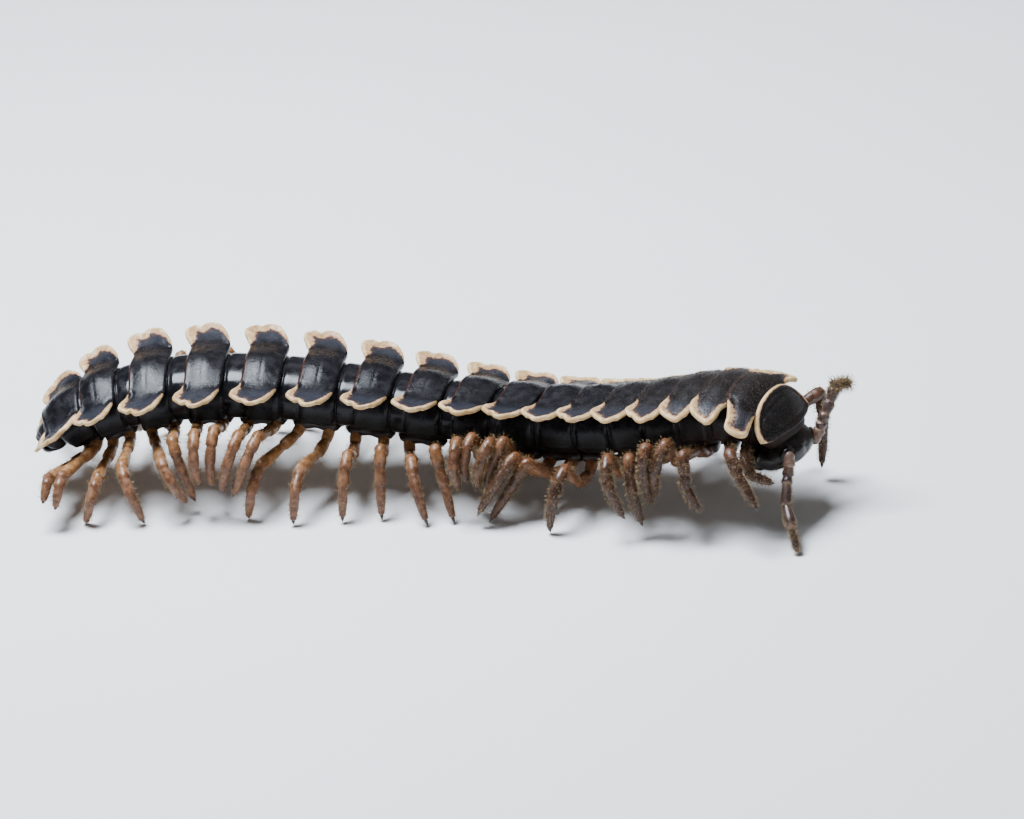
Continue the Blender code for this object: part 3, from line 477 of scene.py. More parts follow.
def spine_table():
    """Ring numbers and the places of the body's axis at keel level, by small steps."""
    ahead = round((MIDDLE_RING - 1) / SPINE_STEP)
    behind = round((POSE[-1][0] - MIDDLE_RING) / SPINE_STEP)
    halves = []
    for count, sign in ((ahead, -1), (behind, 1)):
        places = MIDDLE_RING + sign * (np.arange(count) + 0.5) * SPINE_STEP
        strides = body_axes(places)[0] * pose_curve(4, places)[:, None] * SPINE_STEP
        halves.append(MIDDLE_PLACE - sign * np.cumsum(strides, axis=0))
    points = np.concatenate((halves[0][::-1], MIDDLE_PLACE[None], halves[1]))
    return MIDDLE_RING + np.arange(-ahead, behind + 1) * SPINE_STEP, points


SPINE_PLACES, SPINE = spine_table()


def spine_point(places):
    places = np.asarray(places, float)
    return np.stack([np.interp(places, SPINE_PLACES, SPINE[:, axis]) for axis in range(3)], -1)


def body_points(places, outs, heights, backs=0.0):
    """Points given in the body's own frame at ring numbers."""
    places, outs, heights, backs = np.broadcast_arrays(
        *(np.asarray(value, float) for value in (places, outs, heights, backs)))
    forward, left, up = body_axes(places)
    return (spine_point(places) + left * outs[..., None] + up * heights[..., None]
            - forward * backs[..., None])


def head_axes():
    heading = math.radians(HEAD_HEADING)
    forward = np.array((math.cos(heading), -math.sin(heading), 0.0))
    left = np.array((math.sin(heading), math.cos(heading), 0.0))
    return np.stack((forward, left, (0.0, 0.0, 1.0)))


def head_points(places):
    """Points given as forward, left and up in the head's frame."""
    return COLLUM_PLACE + np.asarray(places, float) @ head_axes()


def curve_through(values, count):
    """Rows of numbers made denser along a smooth curve through them."""
    values = np.asarray(values, float)
    padded = np.concatenate((2 * values[:1] - values[1:2], values, 2 * values[-1:] - values[-2:-1]))
    steps = np.linspace(0, len(values) - 1, count)
    index = np.minimum(steps.astype(int), len(values) - 2)
    share = (steps - index)[:, None]
    before, start, end, after = (padded[index + offset] for offset in range(4))
    return 0.5 * (2 * start + (end - before) * share
                  + (2 * before - 5 * start + 4 * end - after) * share ** 2
                  + (3 * start - before - 3 * end + after) * share ** 3)


# Shapes are dictionaries: points, quads, triangles, the lie of the hairs, a flat unwrap of the
# skin and the values painted on the points for the materials to read


def grid_quads(rows, columns, wrap):
    first = np.arange(columns if wrap else columns - 1)
    following = (first + 1) % columns
    row = np.arange(rows - 1)[:, None] * columns
    return np.stack((row + first, row + following, row + columns + following,
                     row + columns + first), -1).reshape(-1, 4)


def flat_unwrap(rows, columns):
    across, along = np.meshgrid(np.linspace(0, 1, columns), np.linspace(0, 1, rows))
    return np.stack((along, across), -1).reshape(-1, 2)


def tube_shape(rings, paint=None):
    """A closed tube through rows of points, with a fan of triangles at each end."""
    rows, columns, _ = rings.shape
    points = np.concatenate((rings.reshape(-1, 3), rings[:1].mean(1), rings[-1:].mean(1)))
    first = np.arange(columns)
    following = (first + 1) % columns
    hub = np.full(columns, rows * columns)
    top = (rows - 1) * columns
    triangles = np.concatenate((np.stack((hub, following, first), -1),
                                np.stack((hub + 1, top + first, top + following), -1)))
    lie = np.gradient(rings, axis=0).reshape(-1, 3)
    shape = {
        "points": points,
        "quads": grid_quads(rows, columns, True),
        "triangles": triangles,
        "lie": unit(np.concatenate((lie, lie[:1], lie[-1:]))),
        "unwrap": np.concatenate((flat_unwrap(rows, columns), ((0, 0), (1, 1)))),
        "paint": {},
    }
    for name, values in (paint or {}).items():
        spread = np.broadcast_to(np.asarray(values, float).reshape(-1, 1)
                                 if np.size(values) == rows else values, (rows, columns))
        shape["paint"][name] = np.concatenate((spread.ravel(), spread[0, :1], spread[-1, :1]))
    return turned_outward(shape)


def slab_shape(upper, lower, lie, paint):
    """A plate closed by a copy of its top below: grids of points, and the paint of each point."""
    rows, columns, _ = upper.shape
    count = rows * columns
    quads = grid_quads(rows, columns, False)
    skins = {name: np.tile(np.broadcast_to(values, (rows, columns)).ravel(), 2)
             for name, values in paint.items()}
    skins["belly"] = np.repeat((0.0, 1.0), count)
    return {
        "points": np.concatenate((upper.reshape(-1, 3), lower.reshape(-1, 3))),
        "quads": np.concatenate((quads, quads[:, ::-1] + count)),
        "triangles": np.empty((0, 3), int),
        "lie": np.tile(lie, (2 * count, 1)),
        "unwrap": np.tile(flat_unwrap(rows, columns), (2, 1)),
        "paint": skins,
    }


def turned_outward(shape):
    quads, triangles = shape["quads"], shape["triangles"]
    halves = np.concatenate((quads[:, (0, 1, 2)], quads[:, (0, 2, 3)], triangles))
    corners = shape["points"][halves] - shape["points"].mean(0)
    volume = np.einsum("ij,ij->", corners[:, 0], np.cross(corners[:, 1], corners[:, 2]))
    if volume < 0:
        shape["quads"] = quads[:, ::-1]
        shape["triangles"] = triangles[:, ::-1]
    return shape


def joined(shapes):
    """One shape of several; where one has no such paint, it is zero."""
    names = sorted({name for shape in shapes for name in shape["paint"]})
    counts = [len(shape["points"]) for shape in shapes]
    starts = np.concatenate(([0], np.cumsum(counts)[:-1])).astype(int)
    result = {key: np.concatenate([shape[key] for shape in shapes])
              for key in ("points", "lie", "unwrap")}
    for key in ("quads", "triangles"):
        result[key] = np.concatenate([shape[key] + start for shape, start in zip(shapes, starts)])
    result["paint"] = {name: np.concatenate([shape["paint"].get(name, np.zeros(count))
                                             for shape, count in zip(shapes, counts)])
                       for name in names}
    return result


def in_cell(shape, index, cells):
    """Moves a shape's unwrap into one square of a sheet of squares."""
    side = math.ceil(math.sqrt(cells))
    corner = np.array((index % side, index // side))
    shape["unwrap"] = (shape["unwrap"] * 0.94 + 0.03 + corner) / side
    return shape


def add_piece(name, shape, material, nodes=(), welded=False, coat=False):
    """Makes the object, gives it its paint and finish, and lets it ride on the body."""
    mesh = bpy.data.meshes.new(name)
    sets = [faces for faces in (shape["quads"], shape["triangles"]) if len(faces)]
    corners = np.concatenate([faces.ravel() for faces in sets])
    sizes = np.concatenate([np.full(len(faces), faces.shape[1]) for faces in sets])
    mesh.vertices.add(len(shape["points"]))
    mesh.vertices.foreach_set("co", (shape["points"] * MM).ravel())
    mesh.loops.add(len(corners))
    mesh.loops.foreach_set("vertex_index", corners.astype(np.int32))
    mesh.polygons.add(len(sizes))
    mesh.polygons.foreach_set("loop_start", np.concatenate(([0], np.cumsum(sizes)[:-1])))
    mesh.update(calc_edges=True)
    for label, values in shape["paint"].items():
        layer = mesh.attributes.new(label, "FLOAT", "POINT")
        layer.data.foreach_set("value", values.astype(np.float32))
    if coat:
        layer = mesh.uv_layers.new(name="OFBake")
        layer.data.foreach_set("uv", shape["unwrap"][corners].astype(np.float32).ravel())
    if welded:
        weld = bmesh.new()
        weld.from_mesh(mesh)
        bmesh.ops.remove_doubles(weld, verts=weld.verts, dist=1e-7)
        bmesh.ops.recalc_face_normals(weld, faces=weld.faces)
        weld.to_mesh(mesh)
        weld.free()
    mesh.shade_smooth()
    mesh.materials.append(material)
    piece = bpy.data.objects.new(name, mesh)
    bpy.context.scene.collection.objects.link(piece)
    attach(piece, BODY)
    if nodes:
        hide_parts(*nodes)


def limb_rings(points, radii, sides, first_side):
    """Round sections along a limb, turned as little as possible from one to the next."""
    points = np.asarray(points, float)
    ways = unit(np.gradient(points, axis=0))
    side_way = np.asarray(first_side, float)
    angles = around(sides)
    rings = np.empty((len(points), sides, 3))
    for index, (point, way, radius) in enumerate(zip(points, ways, radii)):
        side_way = unit(side_way - way * np.dot(side_way, way))
        other = np.cross(way, side_way)
        rings[index] = point + radius * (np.cos(angles)[:, None] * side_way
                                         + np.sin(angles)[:, None] * other)
    return rings


def article_line(joints, stops, radius_at, pale_end):
    """Points, radii, place along a limb and nearness to a joint, article by article."""
    points, radii, reach, joint = [], [], [], []
    for index, (start, end) in enumerate(zip(joints, joints[1:])):
        for stop in stops:
            points.append(start + (end - start) * stop)
            radii.append(radius_at(index, stop))
            reach.append((index + stop) / (len(joints) - 1))
            joint.append(max(1 - (1 - stop) / pale_end, 1 - stop / PALE_START, 0))
    return [np.array(values) for values in (points, radii, reach, joint)]


def rounded_ends(rings, low, high):
    """Adds shrinking rows, so that a tube ends in a dome of a given height at each end."""
    angles = np.linspace(0, np.pi / 2, DOME_STEPS + 1)[1:]
    ends = []
    for edge, inner, height in ((rings[0], rings[1], low), (rings[-1], rings[-2], high)):
        centre = edge.mean(0)
        way = unit(centre - inner.mean(0))
        ends.append([centre + (edge - centre) * max(math.cos(angle), 0.02)
                     + way * height * math.sin(angle) for angle in angles])
    return np.concatenate((ends[0][::-1], rings, ends[1]))


def scatter(shape, count, seed, weight=None):
    """Random places on a shape: root, normal, lie, place on the unwrap."""
    random = np.random.default_rng(seed)
    quads = shape["quads"]
    corners = shape["points"][quads]
    cross = np.cross(corners[:, 2] - corners[:, 0], corners[:, 3] - corners[:, 1])
    chance = np.linalg.norm(cross, axis=1)
    if weight is not None:
        chance = chance * np.maximum(weight[quads].mean(1), 0)
    chosen = random.choice(len(quads), count, p=chance / chance.sum())
    u, v = random.random((2, count, 1))
    p = corners[chosen]
    roots = (p[:, 0] * (1 - u) + p[:, 1] * u) * (1 - v) + (p[:, 3] * (1 - u) + p[:, 2] * u) * v
    return {
        "roots": roots,
        "normals": unit(cross[chosen]),
        "lies": unit(shape["lie"][quads[chosen, 0]]),
        "unwrap": shape["unwrap"][quads[chosen, 0]],
    }


def bristles(places, length, width, lift, seed, stray=0.25):
    """Thin three-sided hairs, each bent over towards the lie of the coat."""
    random = np.random.default_rng(seed)
    roots, normals, lies = places["roots"], places["normals"], places["lies"]
    count = len(roots)
    lengths = length * random.uniform(0.65, 1.2, (count, 1))
    ways = unit(normals * lift + lies * (1 - lift) + random.normal(0, stray, (count, 3)))
    ways = unit(ways + normals * np.maximum(0.15 - (ways * normals).sum(1, keepdims=True), 0))
    middle = roots + unit(ways + normals * 0.25) * lengths * 0.5
    tip = roots + ways * lengths
    side = unit(np.cross(ways, normals + 0.01))
    other = unit(np.cross(ways, side))
    points = []
    for centre, share in ((roots - normals * 0.02, 1.0), (middle, 0.7)):
        for angle in (0.0, 2 * np.pi / 3, 4 * np.pi / 3):
            points.append(centre + (side * math.cos(angle) + other * math.sin(angle))
                          * width * share)
    points.append(tip)
    points = np.stack(points, 1).reshape(-1, 3)
    start = np.arange(count)[:, None] * 7
    quads = np.concatenate([start + np.array(face) for face in
                            ((0, 1, 4, 3), (1, 2, 5, 4), (2, 0, 3, 5))])
    triangles = np.concatenate([start + np.array(face) for face in
                                ((3, 4, 6), (4, 5, 6), (5, 3, 6), (0, 2, 1))])
    patch = np.array(((-1, -1), (1, -1), (0, 1), (-1, 0), (1, 0), (0, 0.5), (0, 0))) * 0.0015
    unwrap = (places["unwrap"][:, None] + patch).reshape(-1, 2)
    return {"points": points, "quads": quads, "triangles": triangles,
            "lie": np.repeat(ways, 7, axis=0), "unwrap": np.clip(unwrap, 0.001, 0.999),
            "paint": {"tip": np.tile((0, 0, 0, 0.5, 0.5, 0.5, 1.0), count)}}


def coat_on(shape, coat, seeds, weight=None, stray=0.25):
    """Hairs scattered over a shape."""
    count, length, width, lift = coat
    places = scatter(shape, count, seeds[0], weight)
    return bristles(places, length, width, lift, seeds[1], stray)


# Rings


def ring_sizes(ring):
    droop = DROOP.get(ring, 0.0)
    trunk_share = TRUNK_SHARE.get(ring, 1.0)
    back = (BACK_HEIGHT + (DROOPED_BACK - BACK_HEIGHT) * droop) * min(trunk_share + 0.1, 1.0)
    return {
        "width": HALF_WIDTH * KEEL_SHARE.get(ring, 1.0),
        "trunk": TRUNK_HALF_WIDTH * trunk_share,
        "depth": BELLY_DEPTH * trunk_share,
        "back": back,
        "droop": droop,
        "pitch": float(np.linalg.norm(spine_point(ring - 0.5) - spine_point(ring + 0.5))),
        "stretch": STRETCH.get(ring, 1.0),
    }


def edge_of(table, ring):
    """One edge of a ring's outline, between those of the rings that are given."""
    rings = sorted(table)
    values = np.array([table[key] for key in rings])
    return np.array([[np.interp(ring, rings, values[:, row, column]) for column in range(2)]
                     for row in range(values.shape[1])])


def resampled(points, shares):
    """A smooth curve through points, read at shares of its length."""
    dense = curve_through(points, 240)
    length = np.concatenate(([0], np.cumsum(np.linalg.norm(np.diff(dense, axis=0), axis=1))))
    return np.stack([np.interp(shares, length / length[-1], dense[:, axis])
                     for axis in range(2)], -1)


def distance_to_line(points, line):
    """Distance from points to a line in the plane, and the share of the line's points there."""
    start, step = line[:-1], np.diff(line, axis=0)
    offset = points[:, None] - start
    share = np.clip((offset * step).sum(2) / np.maximum((step ** 2).sum(1), 1e-12), 0, 1)
    distance = np.linalg.norm(offset - share[..., None] * step, axis=2)
    nearest = distance.argmin(1)
    rows = np.arange(len(points))
    return distance[rows, nearest], (nearest + share[rows, nearest]) / (len(line) - 1)


def back_height(share, size):
    """Height of the back over the keel plane at a share of the way out to the keel's tip."""
    share = np.minimum(share, 1.05)
    flat = np.exp(-(share / FLAT_BACK_SHARE) ** 2)
    arch = 1.0 - share ** ARCH_POWER
    level = (1.0 - size["droop"]) * flat + size["droop"] * arch
    return size["back"] * level + KEEL_LIFT * (1.0 - size["droop"]) * share ** 2


def eased(curved):
    """Steps from 0 to 1 between even ones and those of a curve."""
    return 0.6 * curved + 0.4 * np.linspace(0, 1, len(curved))


def tergite_grid(ring, side, size):
    """Half of a back plate seen flat: its points, and its front, side and hind lines."""
    front, flank, hind = (edge_of(table, ring) for table in (FRONT_EDGE, SIDE_EDGE, HIND_EDGE))
    scale = np.array((size["stretch"], size["width"]))
    if ring in PORE_RINGS:
        flank[PORE_POINT, 1] -= PORE_NOTCH
    if ring == FIRST_RING and side < 0:
        flank[HIND_CORNER_POINT:, 1] -= CHIPPED_CORNER
    along = eased((1 - np.cos(np.linspace(0, np.pi, ROWS))) / 2)
    out = eased(np.sin(np.linspace(0, np.pi / 2, HALF_COLUMNS)))
    front_line, side_line = resampled(front * scale, out), resampled(flank * scale, along)
    hind_line = resampled(hind[::-1] * scale, out)
    middle_line = front_line[0] + (hind_line[0] - front_line[0]) * along[:, None]
    u, v = along[:, None, None], out[None, :, None]
    place = ((1 - u) * front_line + u * hind_line + (1 - v) * middle_line[:, None]
             + v * side_line[:, None] - (1 - u) * (1 - v) * front_line[0]
             - (1 - u) * v * front_line[-1] - u * (1 - v) * hind_line[0] - u * v * hind_line[-1])
    return place, front_line, side_line, hind_line


def tergite_half(ring, side, size):
    """Half of a back plate: places behind the ring's middle, outward, heights and paint."""
    place, front_line, side_line, hind_line = tergite_grid(ring, side, size)
    flat = place.reshape(-1, 2)
    outer = int(HALF_COLUMNS * RIM_FROM)
    margin = np.concatenate((front_line[outer:-1], side_line, hind_line[outer:-1][::-1]))
    border = np.concatenate((front_line[:-1], side_line, hind_line[:-1][::-1]))
    to_margin, on_margin = distance_to_line(flat, margin)
    to_border, _ = distance_to_line(flat, border)
    to_hind, _ = distance_to_line(flat, hind_line)
    to_front, _ = distance_to_line(flat, front_line)
    rim_width = RIM_WIDTH if side < 0 else FAR_RIM_WIDTH * (1 + FAR_RIM_GAIN * size["droop"])
    width = rim_width * np.interp(on_margin, *RIM_TAPER)
    scale = np.array((size["stretch"], size["width"]))
    behind, share = (flat / scale).T
    on_keel = smooth_step(*KEEL_ROOT, share)
    front_fall = smooth_step(FRONT_FALL_REACH[0], FRONT_FALL_REACH[1] * scale[0], to_front)
    hind_fall = smooth_step(HIND_FALL_REACH[0], HIND_FALL_REACH[1] * scale[0], to_hind)
    top = back_height(share, size)
    dome = np.maximum(top - KEEL_LIFT * share ** 2, 0)
    top = top - dome * (1 - front_fall) * FRONT_FALL * (1 - on_keel)
    top = top - dome * (1 - hind_fall) * HIND_FALL * (1 - on_keel)
    top = top - KEEL_FRONT_DIP * (1 - smooth_step(*KEEL_FRONT_REACH, to_front)) * on_keel
    top = top + on_keel * KEEL_SWELL * (1 - bump(behind, *KEEL_SWELL_PLACE)) * (1 - size["droop"])
    top = top + on_keel * smooth_step(*KEEL_HIND_REACH, behind) * KEEL_HIND_LIFT
    top = top + (relief(to_margin, RIM_BEAD) + relief(to_margin, RIM_GROOVE))
    top = top + relief(to_hind, HEM_BEAD) * (1 - on_keel)
    top = top + relief(behind, CROSS_FURROW) * (1 - smooth_step(*FURROW_REACH, share))
    if ring in PORE_RINGS:
        to_pore = np.hypot(*(flat - PORE_PLACE * scale).T)
        top = top + relief(to_pore, PORE_RING) + relief(to_pore, PORE_PIT)
    rounding = np.sqrt(1 - (1 - np.minimum(to_border / EDGE_ROUND, 1)) ** 2)
    thick = EDGE_THICKNESS * rounding
    top = top - (EDGE_THICKNESS - thick) * 0.5
    low = top - thick - UNDERCUT * smooth_step(*UNDERCUT_REACH, to_margin) * on_keel
    grid = place.shape[:2]
    return {
        "behind": place[..., 0],
        "out": place[..., 1] * side,
        "top": top.reshape(grid),
        "low": low.reshape(grid),
        "rim": np.minimum(to_margin / width, 9).reshape(grid),
        "hem": np.minimum(to_hind / HEM_WIDTH, 9).reshape(grid),
        "keel": on_keel.reshape(grid),
    }


def tergite_shape(ring):
    """The back plate of a ring with its two keels."""
    size = ring_sizes(ring)
    halves = [tergite_half(ring, side, size) for side in (1, -1)]
    whole = {key: np.concatenate((halves[0][key][:, ::-1], halves[1][key][:, 1:]), 1)
             for key in halves[0]}
    place = ring + whole["behind"] / size["pitch"]
    upper = body_points(place, whole["out"], whole["top"])
    lower = body_points(place, whole["out"], whole["low"])
    paint = {name: whole[name] for name in ("rim", "hem", "keel")}
    paint["velvet"] = ring_share(ring, *VELVETY_RINGS)
    shape = slab_shape(upper, lower, -body_axes(ring)[0], paint)
    shape["quads"] = shape["quads"][:, ::-1]
    return shape


def trunk_shape(ring):
    """The barrel of a ring: the smooth collar in front, sides and belly behind the waist."""
    size = ring_sizes(ring)
    stretch = size["stretch"]
    waist = (edge_of(FRONT_EDGE, ring)[0, 0] - WAIST_AHEAD) * stretch
    nose = waist - max(size["pitch"] - TERGITE_LENGTH * stretch, LEAST_COLLAR)
    tail = min(1.0 * stretch, edge_of(HIND_EDGE, ring)[-1, 0] - 0.12)
    along = np.concatenate((np.linspace(nose, waist - 0.12, 9),
                            np.linspace(waist - 0.07, waist + 0.12, 7),
                            np.linspace(waist + 0.2, tail, 14)))
    angles = around(TRUNK_SIDES)
    groove = bump(along, waist, WAIST_GROOVE_WIDTH)
    full = smooth_step(waist, waist + BARREL_RISE, along)
    end = smooth_step(tail - TAIL_ROUND, tail, along)
    start = smooth_step(nose + NOSE_ROUND, nose, along)
    collar = COLLAR_HEIGHT + (DROOPED_COLLAR - COLLAR_HEIGHT) * size["droop"]
    wide = COLLAR_WIDTH_SHARE + BARREL_WIDTH_GAIN * full - WAIST_WIDTH_LOSS * groove
    wide = wide - TAIL_WIDTH_LOSS * end
    deep = COLLAR_DEPTH_SHARE + BARREL_DEPTH_GAIN * full - WAIST_DEPTH_LOSS * groove
    rounding = NOSE_TAPER * start
    width = size["trunk"] * wide - rounding
    above = collar - WAIST_TOP_LOSS * groove - BARREL_STEP * full - TAIL_TOP_LOSS * end - rounding
    below = size["depth"] * deep - TAIL_DEPTH_LOSS * end - rounding
    centre, half = (above - below) / 2, (above + below) / 2
    sine, cosine = np.sin(angles), np.cos(angles)
    squareness = np.where(sine < 0, BELLY_SQUARENESS, BACK_SQUARENESS)
    out = width[:, None] * squared(cosine, squareness)
    height = centre[:, None] + half[:, None] * squared(sine, squareness)
    ridge_height, ridge_width = SIDE_KEEL
    ridge = sum(relief(angles, (ridge_height, angle, ridge_width)) for angle in SIDE_KEEL_ANGLES)
    out = out * (1 + ridge * full[:, None])
    height = height + relief(angles, BELLY_CHANNEL) * full[:, None]
    rings = body_points(ring + along[:, None] / size["pitch"], out, height)
    return tube_shape(rings, {
        "rim": 9.0,
        "hem": 9.0,
        "velvet": ring_share(ring, *VELVETY_RINGS) * 0.6,
        "gloss": 1 - full,
        "belly": smooth_step(0.1, -0.35, sine),
    })


def make_rings(shell, hair):
    tufts = []
    for ring in range(FIRST_RING, LAST_RING + 1):
        tergite = in_cell(tergite_shape(ring), ring, 25)
        name = f"ring_{ring:02d}"
        add_piece(name + "_shell", joined((tergite, trunk_shape(ring))), shell,
                  (name,), welded=True)
        count = int(RING_VELVET[0] * ring_share(ring, *TUFTED_RINGS))
        if count:
            weight = (1 - tergite["paint"]["belly"]) * (tergite["paint"]["rim"] > 0.7)
            tufts.append(coat_on(tergite, (count, *RING_VELVET[1:]), (ring, ring + 40), weight))
    add_piece("ring_velvet", joined(tufts), hair, coat=True)


# Collum and head


def collum_frame():
    slope = math.radians(COLLUM_SLOPE)
    forward, left, up = head_axes()
    return (forward * math.cos(slope) - up * math.sin(slope), left,
            forward * math.sin(slope) + up * math.cos(slope))


def collum_shape():
    """The shield behind the head: a half-moon with a rounded rim."""
    along_way, left, normal = collum_frame()
    side = np.sin(np.linspace(-np.pi / 2, np.pi / 2, COLLUM_COLUMNS))
    share = (1 - np.cos(np.linspace(0, np.pi, COLLUM_ROWS))) / 2
    fullness = np.maximum(1.0 - np.abs(side) ** COLLUM_SQUARENESS, 0)
    hind = -COLLUM_HIND * fullness ** 0.5 + LOBE_HIND
    past = np.maximum(np.abs(side) - CORNER_START, 0) / (1 - CORNER_START)
    front = COLLUM_FRONT * fullness + LOBE_FRONT - CORNER_CUT * past ** 2
    front = front + relief(side, COLLUM_NOTCH)
    place = hind + (front - hind) * share[:, None]
    out = np.broadcast_to(COLLUM_HALF_WIDTH * side, place.shape)
    places = np.stack((place, out), -1).reshape(-1, 2)
    lines = [np.stack((line, COLLUM_HALF_WIDTH * side), -1) for line in (hind, front)]
    to_hind, to_front = (distance_to_line(places, line)[0].reshape(place.shape)
                         for line in lines)
    edge = np.minimum(to_hind, to_front)
    rise = COLLUM_DOME * fullness ** 1.4 * (0.8 + 0.8 * share * (1 - share))[:, None]
    rise = rise + relief(edge, COLLUM_BEAD) + relief(edge, COLLUM_GROOVE)
    rise = rise + relief(share, COLLUM_FURROW)[:, None] * fullness
    rounding = np.sqrt(1 - (1 - np.minimum(edge / COLLUM_ROUND, 1)) ** 2)
    top = rise - COLLUM_EDGE_DROP * (1 - rounding)
    low = top - COLLUM_THICKNESS * rounding
    base = COLLUM_PLACE + along_way * place[..., None] + left * out[..., None]
    hind_rim = COLLUM_RIM + COLLUM_LOBE_RIM * smooth_step(0.55, 0.9, np.abs(side))
    front_rim = COLLUM_FRONT_RIM + COLLUM_CORNER_RIM * smooth_step(0.86, 0.97, np.abs(side))
    rim = np.minimum(to_hind / hind_rim, to_front / front_rim)
    return slab_shape(base + normal * top[..., None], base + normal * low[..., None],
                      -along_way * 0.7 - normal * 0.2, {"rim": rim, "hem": 9.0, "velvet": 1.0})


def neck_shape():
    """The short neck under the collum, which carries the head."""
    along_way, left, normal = collum_frame()
    centre = head_points(NECK_PLACE)
    length, width, height = NECK_RADII
    rows, sides = 14, 40
    polar = np.linspace(0.05, np.pi - 0.05, rows)
    angles = around(sides)
    rings = np.array([centre + along_way * length * math.cos(turn)
                      + math.sin(turn) * (np.cos(angles)[:, None] * left * width
                                          + np.sin(angles)[:, None] * normal * height)
                      for turn in polar])
    return tube_shape(rings, {"rim": 9.0, "hem": 9.0, "velvet": 0.5, "belly": 1.0})


def make_collum(shell, hair):
    shield = in_cell(collum_shape(), 0, 4)
    add_piece("collum_shell", joined((shield, neck_shape())), shell, ("collum",),
              welded=True)
    weight = (1 - shield["paint"]["belly"]) * (0.25 + (shield["paint"]["rim"] > 1.0))
    add_piece("collum_velvet", coat_on(shield, COLLUM_VELVET, (71, 72), weight), hair,
              coat=True)


def oval_rings(rows, sides, count, squareness=1.0):
    """Ovals across the head, each from its front to its hind point, as head-frame places."""
    dense = curve_through(rows, count)
    angles = around(sides)
    cosine = squared(np.cos(angles), squareness)
    start = np.stack((dense[:, 0], np.zeros(count), dense[:, 1]), -1)
    end = np.stack((dense[:, 2], np.zeros(count), dense[:, 3]), -1)
    middle, half = (start + end) / 2, (start - end) / 2
    rings = middle[:, None] + half[:, None] * cosine[:, None]
    rings[..., 1] += dense[:, 4][:, None] * np.sin(angles)
    return rings


def with_lumps(rings, lumps):
    """Moves a surface out or in around given places, along the way from each row's middle."""
    ways = unit(rings - rings.mean(1, keepdims=True))
    for place, radius, height in lumps:
        distance = np.linalg.norm(rings - np.array(place), axis=-1)
        rings = rings + ways * relief(distance, (height, 0.0, radius))[..., None]
    return rings


def mirrored(lumps):
    """The lumps, with those off the middle line on both sides."""
    flipped = [((forward, -left, up), radius, height) for (forward, left, up), radius, height in
               lumps if left]
    return list(lumps) + flipped


def socket_shape(side):
    """The collar round the root of an antenna."""
    aim = unit(np.array((1.0, 0.45 * side, -0.1)))
    start = SOCKET_PLACE * (1, side, 1) - aim * 0.10
    centres = head_points(start + aim * np.array(SOCKET_STEPS)[:, None])
    return tube_shape(limb_rings(centres, SOCKET_RADII, 28, (0, 0, 1)), {"lip": 0.0})


def make_head(face, hair):
    rings = with_lumps(oval_rings(HEAD_SECTIONS, 72, 60, 0.9), mirrored(HEAD_LUMPS))
    rings = rounded_ends(rings, 0.18, 0.10)
    lip = smooth_step(0.80, 1.0, np.linspace(0, 1, len(rings)))
    skull = in_cell(tube_shape(head_points(rings), {"lip": lip}), 0, 9)
    parts = [skull] + [socket_shape(side) for side in (-1, 1)]
    add_piece("head_shell", joined(parts), face, ("head",))
    coat = joined((coat_on(skull, HEAD_HAIRS, (81, 82)), lip_bristles()))
    add_piece("head_bristles", coat, hair, coat=True)
    make_mouthparts(face)


def lip_bristles():
    """A fringe of stiff bristles along the lip's edge."""
    count, length, width, lift = LIP_FRINGE
    side = np.linspace(-1.0, 1.0, count)
    edge = np.stack((-0.66 - 0.36 * side ** 2, side * 0.90, -2.62 + 0.14 * side ** 2), -1)
    way = unit(np.stack((0.25 - 0.2 * side ** 2, side * 0.25, np.full(count, -1.0)), -1))
    places = {"roots": head_points(edge), "normals": way @ head_axes(), "lies": way @ head_axes(),
              "unwrap": np.stack((0.5 + 0.4 * side, np.full(count, 0.9)), -1)}
    return bristles(places, length, width, lift, 83, stray=0.12)


def ellipsoid(centre, radii, turn=0.0, rows=20, sides=32):
    """An oval lump in the head's frame, turned about the left axis."""
    polar = np.linspace(0.06, np.pi - 0.06, rows)
    angles = around(sides)
    local = np.stack((np.outer(np.sin(polar), np.cos(angles)) * radii[0],
                      np.outer(np.sin(polar), np.sin(angles)) * radii[1],
                      np.outer(np.cos(polar), np.ones(sides)) * radii[2]), -1)
    cosine, sine = math.cos(turn), math.sin(turn)
    spun = np.stack((local[..., 0] * cosine + local[..., 2] * sine, local[..., 1],
                     local[..., 2] * cosine - local[..., 0] * sine), -1)
    return np.array(centre) + spun


def make_mouthparts(face):
    """The lower lip plate with its furrows and the jaws at its sides."""
    rings = with_lumps(oval_rings(MOUTH_SECTIONS, 56, 36), mirrored(MOUTH_FURROWS))
    rings = rounded_ends(rings, 0.14, 0.12)
    shapes = [tube_shape(head_points(rings), {"lip": 0.6})]
    for side in (-1, 1):
        jaw = ellipsoid(np.array(JAW_PLACE) * (1, side, 1), JAW_RADII, JAW_TURN)
        shapes.append(tube_shape(head_points(jaw), {"lip": 0.0}))
        palp = ellipsoid(np.array(PALP_PLACE) * (1, side, 1), PALP_RADII, PALP_TURN)
        shapes.append(tube_shape(head_points(palp), {"lip": 1.0}))
    add_piece("mouthparts_shell", joined(shapes), face, ("mouthparts",))


def antenna_radius(index, stop):
    taper = 1.0 - TIP_TAPER * stop if index == len(ARTICLE_GIRTH) - 1 else 1.0
    return np.interp(stop, ANTENNA_STOPS, ANTENNA_RADII) * ARTICLE_GIRTH[index] * taper


